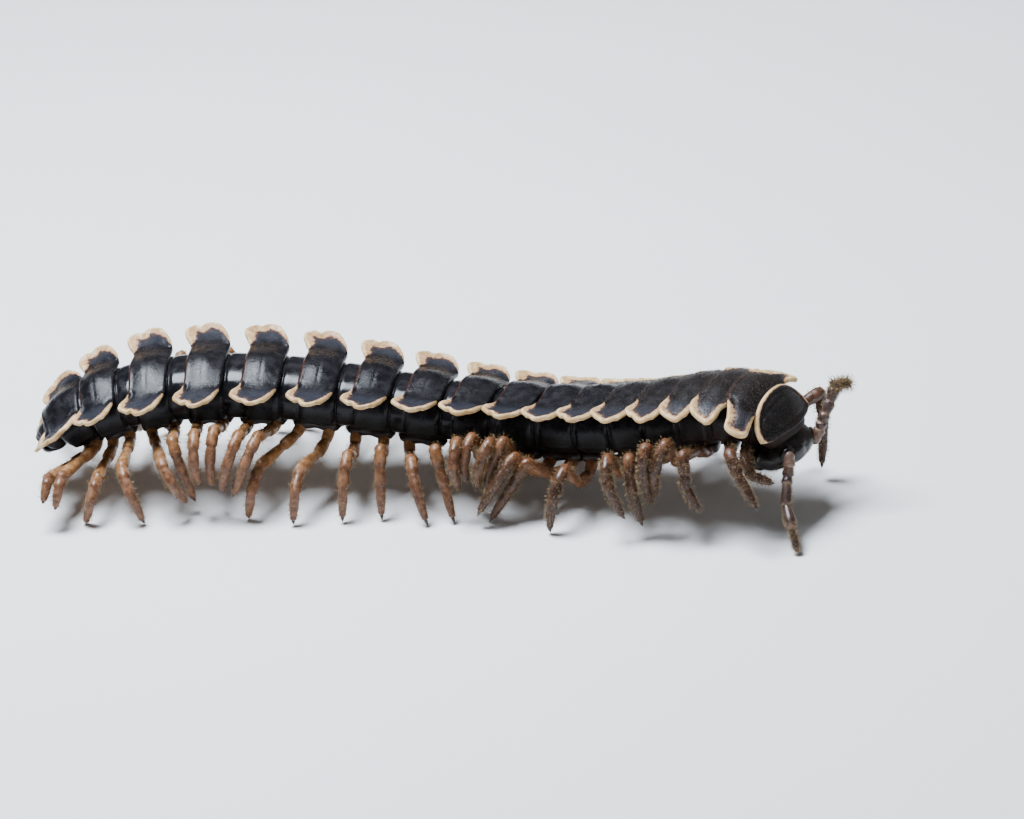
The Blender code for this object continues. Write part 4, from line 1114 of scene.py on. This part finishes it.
def tip_cones(points):
    """The small sensory cones in a ring on an antenna's tip."""
    tip, way = points[-1], unit(points[-1] - points[-3])
    side = unit(np.cross(way, (0, 0, 1)))
    other = np.cross(way, side)
    cones = []
    for turn in range(TIP_CONES):
        angle = (turn + 0.5) * 2 * math.pi / TIP_CONES
        root = tip + (side * math.cos(angle) + other * math.sin(angle)) * TIP_CONE_OUT
        line = root + way * np.linspace(0.02, 0.20, len(TIP_CONE_RADII))[:, None]
        cones.append(tube_shape(limb_rings(line, TIP_CONE_RADII, 8, side),
                                {"reach": 0.4, "joint": 1.0}))
    return cones


def make_antenna(name, joints, brown, hairs, seed):
    """Makes an antenna and gives back its hairs."""
    points, radii, reach, joint = article_line(head_points(joints), ANTENNA_STOPS, antenna_radius,
                                               ANTENNA_PALE_END)
    rings = limb_rings(points, radii, ANTENNA_SIDES, head_axes()[0])
    rings = rounded_ends(rings, 0.05, 0.10)
    reach = np.concatenate((np.zeros(DOME_STEPS), reach, np.ones(DOME_STEPS)))
    joint = np.pad(joint, DOME_STEPS)
    stalk = in_cell(tube_shape(rings, {"reach": reach, "joint": joint}), 0, 4)
    boss = tube_shape(head_points(ellipsoid(joints[0], SOCKET_BOSS)), {"reach": 0.10, "joint": 0.0})
    add_piece(name + "_shell", joined([stalk, boss] + tip_cones(points)), brown,
              (name,))
    coat, denser, brush = hairs
    on_coat = 0.3 + denser * smooth_step(0.55, 0.8, reach)
    on_brush = smooth_step(0.80, 0.90, reach)
    tufts = []
    for kind, share, first, stray in ((coat, on_coat, seed, 0.18),
                                      (brush, on_brush, seed + 4, 0.35)):
        weight = np.append(np.repeat(share, ANTENNA_SIDES), (0, 0))
        tufts.append(coat_on(stalk, kind, (first, first + 2), weight, stray))
    return joined(tufts)


# Tail and gonopods


def make_telson(shell):
    rows = curve_through(TELSON_SECTIONS, 26)
    angles = around(48)
    sine, cosine = np.sin(angles), np.cos(angles)
    place = TELSON_START + rows[:, 0] * TELSON_SCALE
    height = np.where(sine > 0, rows[:, 2, None], rows[:, 3, None]) * sine - TELSON_DROP
    out = rows[:, 1, None] * cosine
    behind = smooth_step(0.3, 0.7, rows[:, 0])[:, None]
    height = height + relief(out, TELSON_SEAM) * (sine < 0) * behind
    rings = body_points(place[:, None], out, height)
    paint = {"rim": 9.0, "hem": 9.0, "belly": (sine < -0.2) * 1.0}
    add_piece("telson_shell", tube_shape(rings, paint), shell, ("telson",))


def make_gonopods(leg_skin):
    size = ring_sizes(GONOPOD_RING)
    place = GONOPOD_RING - FRONT_HIP
    base = -size["depth"] - 0.15
    hooks = curve_through(GONOPOD_HOOK, 26)
    shapes = []
    for side in (-1, 1):
        line = body_points(place - hooks[:, 0], hooks[:, 1] * side, base - hooks[:, 2])
        shapes.append(tube_shape(limb_rings(line, hooks[:, 3], 20, body_axes(place)[1]),
                                 {"reach": 0.25, "rear": 0.4}))
    add_piece("gonopods_shell", joined(shapes), leg_skin, ("gonopods",))


# Legs


def arc_points(start, end, lengths, bulge):
    """Joints along a bent limb that fills its whole length between two points."""
    total = sum(lengths)
    chord = float(np.linalg.norm(end - start))
    bend = min(math.sqrt(24 * max(1 - chord / total, 0.0)), MOST_BEND)
    way = unit(end - start)
    bulge = unit(bulge - way * np.dot(bulge, way))
    points, travelled = [], 0.0
    for length in lengths:
        travelled += length / total
        if bend < 0.01:
            points.append(start + (end - start) * travelled)
            continue
        radius = chord / (2 * math.sin(bend / 2))
        angle = bend * (travelled - 0.5)
        across = radius * math.sin(angle) + chord / 2
        rise = radius * (math.cos(angle) - math.cos(bend / 2))
        points.append(start + way * across + bulge * rise)
    return points


def ground_frame(place):
    """The body's forward and left, turned level, and the ground point under its axis."""
    left = unit(body_axes(place)[1] * (1, 1, 0))
    return np.array((left[1], -left[0], 0.0)), left, spine_point(place) * (1, 1, 0)


def walking_phase(place):
    """Whether a leg at a ring number is lifted, and how far it is through that stroke."""
    landing = max([mark for mark in LANDINGS if mark <= place], default=-1.0)
    lift = max([mark for mark in LIFTS if mark <= place], default=-1.0)
    if landing > lift:
        following = min(mark for mark in LIFTS if mark > place)
        return False, (place - landing) / (following - landing)
    following = min([mark for mark in LANDINGS if mark > place], default=place + 1)
    return True, (place - lift) / (following - lift)


def leg_targets(place, side, hind_leg):
    """Knee and foot of a leg, and whether the foot is on the ground."""
    forward, left, under = ground_frame(place)
    axis_height = spine_point(place)[2]
    lifted, stroke = walking_phase(place)
    reach_start, reach_end = SWING_REACH if lifted else STANCE_REACH
    reach = reach_start + (reach_end - reach_start) * stroke
    lift = math.sin(math.pi * stroke) ** 0.6 if lifted else 0.0
    stagger = STAGGER * (1 if hind_leg else -1) * lift
    foot_out = STANCE_FOOT_OUT + (SWING_FOOT_OUT - STANCE_FOOT_OUT) * lift + stagger
    foot = under + forward * reach + left * side * foot_out
    foot[2] = SWING_LIFT * lift * axis_height / AXIS_HEIGHT
    knee = under + forward * reach * KNEE_FOLLOW + left * side * (KNEE_OUT + stagger)
    tilt = body_axes(place)[1][2] * side * KNEE_OUT
    high_knee = axis_height + tilt - SWING_KNEE_BELOW
    low_knee = min(STANCE_KNEE_HEIGHT, high_knee)
    knee[2] = low_knee + (high_knee - low_knee) * lift
    shift = RIGHT_LEG_SHIFTS.get((round(place), int(hind_leg))) if side < 0 else None
    if shift:
        knee_ahead, knee_up, foot_ahead, foot_out, foot_up = shift
        knee = knee + forward * knee_ahead + np.array((0, 0, knee_up))
        foot = foot + forward * foot_ahead + left * side * foot_out
        foot[2] = max(foot[2] + foot_up, 0.0)
    return knee, foot, not lifted and foot[2] == 0.0


def hip_point(ring, share, side):
    height = -ring_sizes(ring)["depth"] - PLATE_GAP - PLATE_THICKNESS / 2
    return body_points(ring - share, HIP_OUT * side, height)


def front_leg_joints(ring, side):
    """Joints of one of the first, lifted legs."""
    forward, left, under = ground_frame(ring)
    hip = hip_point(ring, LONE_HIP, side)
    marks = [under + forward * ahead + left * side * out + np.array((0, 0, height))
             for ahead, out, height in FRONT_LEGS[(ring, side)]]
    knee, shin, foot = marks
    first, second = UPPER_LEG[0] / sum(UPPER_LEG), sum(UPPER_LEG[:2]) / sum(UPPER_LEG)
    lift = np.array((0, 0, FRONT_ARCH))
    return [hip, hip + (knee - hip) * first + lift * 0.5, hip + (knee - hip) * second + lift, knee,
            knee + (shin - knee) * FRONT_SHIN_JOINT, shin, shin + (foot - shin) * FRONT_FOOT_JOINT,
            foot]


def leg_joints(ring, share, side):
    """All joints of a leg from hip to claw tip."""
    if ring in LONE_PAIR_RINGS:
        return front_leg_joints(ring, side)
    place = ring - share
    hip = hip_point(ring, share, side)
    knee, foot, standing = leg_targets(place, side, share < 0)
    lower = sum(LOWER_LEG)
    reach = float(np.linalg.norm(foot - knee))
    if not standing and reach > MOST_REACH * lower:
        foot = knee + (foot - knee) / reach * MOST_REACH * lower
    left = ground_frame(place)[1]
    up = np.array((0.0, 0.0, 1.0))
    return ([hip] + arc_points(hip, knee, UPPER_LEG, -up)
            + arc_points(knee, foot, LOWER_LEG, left * side + up * 0.3))


def leg_radius(index, stop):
    base, middle, end = LEG_ARTICLES[index]
    radii = (base * 0.90, base, middle, end, end * 0.96, end * 0.86)
    return np.interp(stop, ARTICLE_SHARES, radii)


def above_floor(points, clearance):
    points[..., 2] = np.maximum(points[..., 2], clearance)
    return points


def leg_shapes(ring, share, side):
    """A leg's skin as far as its foot, and its claw, which starts inside the foot."""
    joints = leg_joints(ring, share, side)
    forward, _, up = body_axes(ring)
    joints[0] = joints[0] + up * HIP_SINK
    points, radii, reach, joint = article_line(joints, ARTICLE_STOPS, leg_radius,
                                               LEG_PALE_END)
    points[1:-1] = 0.25 * points[:-2] + 0.5 * points[1:-1] + 0.25 * points[2:]
    foot = len(ARTICLE_STOPS) * (len(LEG_ARTICLES) - 1)
    radii[foot - 1] *= CLAW_SOCKET
    rings = above_floor(limb_rings(points, radii, LEG_SIDES, -forward), 0.0)
    paint = {
        "reach": reach[:foot],
        "joint": joint[:foot],
        "rear": ring_share(ring, *PALE_LEG_RINGS),
        "bow": ring_share(ring, *PLUM_LEG_RINGS),
    }
    claw_radii = np.append((radii[foot], radii[foot]), radii[foot:])
    claw = above_floor(limb_rings(points[foot - 2:], claw_radii, CLAW_SIDES, -forward), 0.0)
    return tube_shape(rings[:foot], paint), tube_shape(claw)


def sternite_shape(ring, side, shares):
    """The hip plate under one side of a ring, which the coxae grow from."""
    size = ring_sizes(ring)
    reach = PLATE_LAP / size["pitch"]
    front, hind = ring - max(shares) - reach, ring - min(shares) + reach
    rows, sides = 16, 24
    share = np.linspace(0, 1, rows)
    place = front + (hind - front) * share
    swell = np.sqrt(np.maximum(1 - (2 * share - 1) ** 6, 0.02))
    waist = 1 - relief(share, PLATE_WAIST) if len(shares) > 1 else 1.0
    girth = (swell * waist)[:, None]
    angles = around(sides)
    out = (PLATE_OUT + PLATE_HALF_WIDTH * girth * np.cos(angles)) * side
    height = -size["depth"] - PLATE_DROP + PLATE_HALF_HEIGHT * girth * np.sin(angles)
    rings = body_points(place[:, None], out, height)
    return tube_shape(rings, {"reach": 0.0, "joint": 0.0, "rear": 0.0, "plate": 1.0})


def grit_shape(leg, count, seed):
    """Crumbs of earth stuck to the lower leg."""
    lower = smooth_step(0.45, 0.7, leg["paint"]["reach"])
    places = scatter(leg, count, seed, lower + 0.02)
    random = np.random.default_rng(seed + 5)
    corners = unit(np.array([(x, y, z) for x in (-1, 1) for y in (-1, 1) for z in (-1, 1)]))
    sizes = random.uniform(*GRIT_SIZES, (count, 1, 1))
    points = places["roots"][:, None] + corners * sizes * random.uniform(0.6, 1.2, (count, 8, 3))
    faces = ((0, 1, 3, 2), (4, 6, 7, 5), (0, 4, 5, 1), (2, 3, 7, 6), (0, 2, 6, 4), (1, 5, 7, 3))
    start = np.arange(count)[:, None] * 8
    quads = np.concatenate([start + np.array(face) for face in faces])
    return {"points": above_floor(points.reshape(-1, 3), 0.005), "quads": quads,
            "triangles": np.empty((0, 3), int), "lie": np.zeros((count * 8, 3)),
            "unwrap": np.repeat(places["unwrap"], 8, axis=0), "paint": {}}


def leg_shares(ring):
    if ring in LONE_PAIR_RINGS:
        return (LONE_HIP,)
    if ring == GONOPOD_RING:
        return (HIND_HIP,)
    return (FRONT_HIP, HIND_HIP)


def make_legs(skin, hair, earth, horn):
    for side, label in ((-1, "right"), (1, "left")):
        coat, crumbs, claws = [], [], []
        index = 0
        for ring in range(FIRST_RING, LAST_RING):
            shares = leg_shares(ring)
            parts = [sternite_shape(ring, side, shares)]
            kind = LEG_BRISTLES if ring < MIDDLE_RING else REAR_LEG_BRISTLES
            for share in shares:
                leg, claw = leg_shapes(ring, share, side)
                leg = in_cell(leg, index, 36)
                index += 1
                parts.append(leg)
                claws.append(claw)
                seed = 100 + index + 50 * (side > 0)
                reach = leg["paint"]["reach"]
                weight = (0.35 + smooth_step(0.3, 0.55, reach)) * (reach < 0.93) * (reach > 0.12)
                hairs = coat_on(leg, kind, (seed, seed + 7), weight)
                hairs["points"] = above_floor(hairs["points"], 0.004)
                coat.append(hairs)
                crumbs.append(grit_shape(leg, GRIT_PER_LEG, seed + 11))
            node = f"legs_{ring:02d}_{label}"
            add_piece(node + "_skin", joined(parts), skin, (node,))
        add_piece(f"leg_bristles_{label}", joined(coat), hair, coat=True)
        add_piece(f"leg_grit_{label}", joined(crumbs), earth)
        add_piece(f"claws_{label}", joined(claws), horn)


# Materials


def add_node(tree, kind, **settings):
    node = tree.nodes.new(kind)
    for name, value in settings.items():
        setattr(node, name, value)
    return node


def feed(tree, value, socket):
    """Joins an output to a socket, or sets a number or a colour on the socket itself."""
    if isinstance(value, tuple):
        socket.default_value = (*value, 1.0)
    elif isinstance(value, (int, float)):
        socket.default_value = value
    else:
        tree.links.new(value, socket)


def math_node(tree, operation, first, second, clamp=False):
    node = add_node(tree, "ShaderNodeMath", operation=operation, use_clamp=clamp)
    feed(tree, first, node.inputs[0])
    feed(tree, second, node.inputs[1])
    return node.outputs[0]


def times(tree, first, second):
    return math_node(tree, "MULTIPLY", first, second)


def mix_colour(tree, share, first, second):
    node = add_node(tree, "ShaderNodeMix", data_type="RGBA")
    for socket, value in ((0, share), (6, first), (7, second)):
        feed(tree, value, node.inputs[socket])
    return node.outputs[2]


def range_node(tree, value, low, high, new_low=0.0, new_high=1.0):
    node = add_node(tree, "ShaderNodeMapRange", interpolation_type="SMOOTHSTEP")
    for label, given in (("Value", value), ("From Min", low), ("From Max", high),
                         ("To Min", new_low), ("To Max", new_high)):
        feed(tree, given, node.inputs[label])
    return node.outputs["Result"]


def texture_node(tree, kind, place, scale, detail=None, **settings):
    """A texture's outputs; the detail sets other numbers on its sockets, by name."""
    node = add_node(tree, kind, **settings)
    feed(tree, place, node.inputs["Vector"])
    feed(tree, scale, node.inputs["Scale"])
    for label, value in (detail or {}).items():
        feed(tree, value, node.inputs[label])
    return node.outputs


def painted(tree, label):
    return add_node(tree, "ShaderNodeAttribute", attribute_name=label).outputs["Fac"]


def new_group(name, given, results):
    """A node group of numbers, its inputs and results, and the place on the model."""
    group = bpy.data.node_groups.new(name, "ShaderNodeTree")
    for label, value in given.items():
        socket = group.interface.new_socket(label, in_out="INPUT", socket_type="NodeSocketFloat")
        socket.default_value = value
    for label in results:
        group.interface.new_socket(label, in_out="OUTPUT", socket_type="NodeSocketFloat")
    place = add_node(group, "ShaderNodeTexCoord").outputs["Object"]
    return (group, add_node(group, "NodeGroupInput").outputs,
            add_node(group, "NodeGroupOutput").inputs, place)


def grain_group():
    """Cuticle grain: fine knobs and broader unevenness, as heights and a mottling mask."""
    group, given, result, place = new_group(
        "cuticle_grain", {"Grain Size": 0.08, "Patch Size": 0.6}, ("Height", "Mottling"))
    fine_scale = math_node(group, "DIVIDE", 1 / MM, given["Grain Size"])
    patch_scale = math_node(group, "DIVIDE", 1 / MM, given["Patch Size"])
    knobs = texture_node(group, "ShaderNodeTexVoronoi", place, fine_scale, feature="SMOOTH_F1")
    fine = texture_node(group, "ShaderNodeTexNoise", place, fine_scale)
    patch = texture_node(group, "ShaderNodeTexNoise", place, patch_scale, {"Detail": 4.0})
    round_knobs = times(group, knobs["Distance"], -0.6)
    feed(group, math_node(group, "ADD", round_knobs, fine["Fac"]), result["Height"])
    feed(group, range_node(group, patch["Fac"], 0.35, 0.68), result["Mottling"])
    return group


def dust_group():
    """Dust and dried earth in the hollows of the cuticle, as a mask."""
    group, given, result, place = new_group(
        "clinging_dust", {"Speck Size": 0.12, "Cover": 0.3}, ("Mask",))
    scale = math_node(group, "DIVIDE", 1 / MM, given["Speck Size"])
    specks = texture_node(group, "ShaderNodeTexNoise", place, scale,
                          {"Detail": 6.0, "Roughness": 0.7})
    edge = math_node(group, "SUBTRACT", 0.75, times(group, given["Cover"], 0.35))
    over = math_node(group, "SUBTRACT", specks["Fac"], edge)
    feed(group, math_node(group, "MULTIPLY", over, 12.0, clamp=True), result["Mask"])
    return group


def add_group(tree, group, **values):
    """A use of a node group, with its outputs; a name's underscore stands for a space."""
    node = add_node(tree, "ShaderNodeGroup", node_tree=group)
    for label, value in values.items():
        feed(tree, value, node.inputs[label.replace("_", " ")])
    return node.outputs


def mottled(tree, texture, tones):
    return mix_colour(tree, texture["Mottling"], *tones)


def new_material(name):
    material = bpy.data.materials.new(name)
    material.use_nodes = True
    tree = material.node_tree
    return material, tree, tree.nodes["Principled BSDF"].inputs


def set_looks(tree, shader, colour, roughness, specular=0.5):
    feed(tree, colour, shader["Base Color"])
    feed(tree, roughness, shader["Roughness"])
    feed(tree, specular, shader["Specular IOR Level"])


def add_bump(tree, shader, height, distance_mm, strength):
    node = add_node(tree, "ShaderNodeBump")
    feed(tree, distance_mm * MM, node.inputs["Distance"])
    feed(tree, strength, node.inputs["Strength"])
    feed(tree, height, node.inputs["Height"])
    feed(tree, node.outputs["Normal"], shader["Normal"])


def shell_material(grain, dust):
    """Black back with a cream rim on the keels, brown hind hems and a dark brown belly."""
    material, tree, shader = new_material("black_cuticle")
    texture = add_group(tree, grain, Grain_Size=0.075, Patch_Size=0.55)
    wobble = add_group(tree, grain, Grain_Size=0.05, Patch_Size=0.22)
    velvet, gloss, belly = (painted(tree, label) for label in ("velvet", "gloss", "belly"))
    back = mix_colour(tree, times(tree, velvet, 0.35), mottled(tree, texture, BACK_BLACK),
                      mottled(tree, wobble, VELVET_BLACK))
    below = mix_colour(tree, velvet, REAR_BELLY, FRONT_BELLY)
    skin = mix_colour(tree, belly, back, below)
    on_hem = range_node(tree, painted(tree, "hem"), 1.2, 0.35, 0.0, 0.75)
    skin = mix_colour(tree, on_hem, skin, HEM_BROWN)
    # Painted reflection: the keels' tops are tinted blue-grey as if they mirrored the sky
    skin = mix_colour(tree, times(tree, painted(tree, "keel"), 0.55), skin, KEEL_PAINTED_SKY_REFLECTION)
    uneven = times(tree, wobble["Mottling"], 0.34)
    rim = math_node(tree, "ADD", painted(tree, "rim"), uneven)
    skin = mix_colour(tree, range_node(tree, rim, 1.9, 1.12, 0.0, 0.55), skin, RIM_HALO)
    inner = range_node(tree, rim, 0.40, 1.05)
    cream = mix_colour(tree, inner, mottled(tree, texture, RIM_CREAM), INNER_RIM)
    skin = mix_colour(tree, range_node(tree, rim, 1.28, 1.05), skin, cream)
    specks = add_group(tree, dust, Speck_Size=0.10, Cover=0.12)
    dusty = times(tree, times(tree, specks["Mask"], velvet), 0.35)
    rough = math_node(tree, "ADD", times(tree, texture["Mottling"], 0.10), 0.22)
    rough = math_node(tree, "ADD", rough, times(tree, velvet, 0.12))
    rough = math_node(tree, "SUBTRACT", rough, times(tree, gloss, 0.08))
    rough = math_node(tree, "ADD", rough, times(tree, belly, 0.25))
    set_looks(tree, shader, mix_colour(tree, dusty, skin, BACK_DUST), rough, specular=0.15)
    height = times(tree, texture["Height"], math_node(tree, "SUBTRACT", 1.0, gloss))
    add_bump(tree, shader, height, 0.022, 0.7)
    return material


def face_material(grain):
    """Black head, browner and more matt at the lip."""
    material, tree, shader = new_material("black_face")
    texture = add_group(tree, grain, Grain_Size=0.06, Patch_Size=0.4)
    on_lip = times(tree, painted(tree, "lip"), 0.8)
    colour = mix_colour(tree, on_lip, mottled(tree, texture, FACE_BLACK),
                        mottled(tree, texture, LIP_BROWN))
    rough = range_node(tree, texture["Mottling"], 0.0, 1.0, 0.28, 0.42)
    set_looks(tree, shader, colour, rough, specular=0.28)
    add_bump(tree, shader, texture["Height"], 0.014, 0.6)
    return material


def antenna_material(grain):
    """Purplish brown articles, darker towards the tip, pale at the joints."""
    material, tree, shader = new_material("antenna_brown")
    texture = add_group(tree, grain, Grain_Size=0.05, Patch_Size=0.3)
    reach, joint = painted(tree, "reach"), painted(tree, "joint")
    colour = mix_colour(tree, range_node(tree, reach, 0.6, 1.0),
                        mottled(tree, texture, ANTENNA_BROWN), ANTENNA_TIP)
    root = range_node(tree, reach, 0.26, 0.08, 0.0, 0.75)
    colour = mix_colour(tree, root, colour, ANTENNA_ROOT)
    colour = mix_colour(tree, times(tree, joint, 0.60), colour, ANTENNA_JOINT)
    set_looks(tree, shader, colour, roughness=0.34, specular=0.4)
    add_bump(tree, shader, texture["Height"], 0.010, 0.5)
    return material


def leg_material(grain, dust):
    """Amber thighs and darker, dusty shins; the rear legs are paler tan."""
    material, tree, shader = new_material("leg_amber")
    texture = add_group(tree, grain, Grain_Size=0.06, Patch_Size=0.32)
    reach, joint, rear, bow, plate = (painted(tree, label) for label in
                                      ("reach", "joint", "rear", "bow", "plate"))
    plum, amber, tan, brown, pale_brown = (
        mottled(tree, texture, tones)
        for tones in (THIGH_PLUM, THIGH_AMBER, THIGH_TAN, SHIN_BROWN, SHIN_TAN))
    upper = mix_colour(tree, rear, amber, tan)
    upper = mix_colour(tree, times(tree, bow, 0.85), upper, plum)
    lower = mix_colour(tree, rear, brown, pale_brown)
    colour = mix_colour(tree, range_node(tree, reach, 0.34, 0.60), upper, lower)
    colour = mix_colour(tree, times(tree, joint, 0.45), colour, LEG_JOINT)
    colour = mix_colour(tree, plate, colour, HIP_PLATE)
    specks = add_group(tree, dust, Speck_Size=0.07, Cover=0.30)
    low = range_node(tree, reach, 0.35, 0.75, 0.0, 0.40)
    colour = mix_colour(tree, times(tree, specks["Mask"], low), colour, LEG_DUST)
    rough = range_node(tree, texture["Mottling"], 0.0, 1.0, 0.30, 0.48)
    set_looks(tree, shader, colour, rough, specular=0.32)
    shader["Subsurface Weight"].default_value = 0.12
    shader["Subsurface Radius"].default_value = (0.0004, 0.00018, 0.00009)
    add_bump(tree, shader, texture["Height"], 0.012, 0.6)
    return material


def claw_material():
    material, tree, shader = new_material("claw_horn")
    set_looks(tree, shader, CLAW_HORN, roughness=0.28, specular=0.45)
    return material


def bristle_material(name, tones):
    material, tree, shader = new_material(name)
    set_looks(tree, shader, mix_colour(tree, painted(tree, "tip"), *tones), roughness=0.42)
    return material


def earth_material(grain):
    material, tree, shader = new_material("dried_earth")
    texture = add_group(tree, grain, Grain_Size=0.03, Patch_Size=0.15)
    set_looks(tree, shader, mottled(tree, texture, EARTH), roughness=0.9, specular=0.2)
    add_bump(tree, shader, texture["Height"], 0.01, 0.8)
    return material


def floor_material():
    material, tree, shader = new_material("studio_floor")
    noise = add_node(tree, "ShaderNodeTexNoise")
    feed(tree, 60.0, noise.inputs["Scale"])
    colour = mix_colour(tree, noise.outputs["Fac"], *FLOOR_GREY)
    set_looks(tree, shader, colour, roughness=0.7, specular=0.2)
    return material


# Studio


def camera_axes():
    """Right, up and backward of a camera that looks at the model from -Y and above."""
    elevation, roll = math.radians(CAMERA_ELEVATION), math.radians(CAMERA_ROLL)
    toward = np.array((0.0, -math.cos(elevation), math.sin(elevation)))
    upright = np.array((0.0, math.sin(elevation), math.cos(elevation)))
    across = np.array((1.0, 0.0, 0.0))
    right = across * math.cos(roll) + upright * math.sin(roll)
    return right, upright * math.cos(roll) - across * math.sin(roll), toward


def make_camera():
    right, up, toward = camera_axes()
    data = bpy.data.cameras.new("photo_view")
    data.lens = LENS
    data.sensor_width = SENSOR_WIDTH
    data.clip_start = CLIP_START
    camera = bpy.data.objects.new("photo_view", data)
    turn = Matrix((Vector(right), Vector(up), Vector(toward))).transposed()
    place = Vector((TO_ORIGIN + toward * CAMERA_DISTANCE) * MM)
    camera.matrix_world = Matrix.Translation(place) @ turn.to_4x4()
    bpy.context.scene.collection.objects.link(camera)
    bpy.context.scene.camera = camera


def make_light(name, place_mm, size_mm, watts, colour):
    data = bpy.data.lights.new(name, "AREA")
    data.shape = "ELLIPSE"
    data.size, data.size_y = (side * MM for side in size_mm)
    data.energy = watts
    data.color = colour
    light = bpy.data.objects.new(name, data)
    place = Vector(place_mm) * MM
    turn = (LIGHT_AIM - place).to_track_quat("-Z", "Y").to_matrix()
    light.matrix_world = Matrix.Translation(place) @ turn.to_4x4()
    bpy.context.scene.collection.objects.link(light)


def make_studio():
    size = FLOOR_HALF_SIZE
    corners = ((-size, -size, 0), (size, -size, 0), (size, size, 0), (-size, size, 0))
    mesh = bpy.data.meshes.new("studio_floor")
    mesh.from_pydata(corners, [], [(0, 1, 2, 3)])
    mesh.materials.append(floor_material())
    floor = bpy.data.objects.new("studio_floor", mesh)
    bpy.context.scene.collection.objects.link(floor)
    for name, settings in LIGHTS.items():
        make_light(name, *settings)
    world = bpy.data.worlds.new("studio_air")
    world.use_nodes = True
    backdrop = world.node_tree.nodes["Background"]
    backdrop.inputs["Color"].default_value = (*AIR_COLOUR, 1.0)
    backdrop.inputs["Strength"].default_value = AIR_STRENGTH
    bpy.context.scene.world = world


def build():
    grain, dust = grain_group(), dust_group()
    shell = shell_material(grain, dust)
    face = face_material(grain)
    antenna = antenna_material(grain)
    leg_skin = leg_material(grain, dust)
    dark_hair = bristle_material("dark_bristle", DARK_HAIR)
    fawn_hair = bristle_material("fawn_bristle", FAWN_HAIR)
    earth = earth_material(grain)
    make_rings(shell, dark_hair)
    make_collum(shell, dark_hair)
    make_head(face, dark_hair)
    tufts = [make_antenna("antenna_right", ANTENNA_RIGHT, antenna, LOWERED_HAIRS, 90),
             make_antenna("antenna_left", ANTENNA_LEFT, antenna, RAISED_HAIRS, 91)]
    add_piece("antenna_bristles", joined(tufts), fawn_hair, coat=True)
    make_telson(shell)
    make_gonopods(leg_skin)
    make_legs(leg_skin, fawn_hair, earth, claw_material())


make_camera()
build()
make_studio()
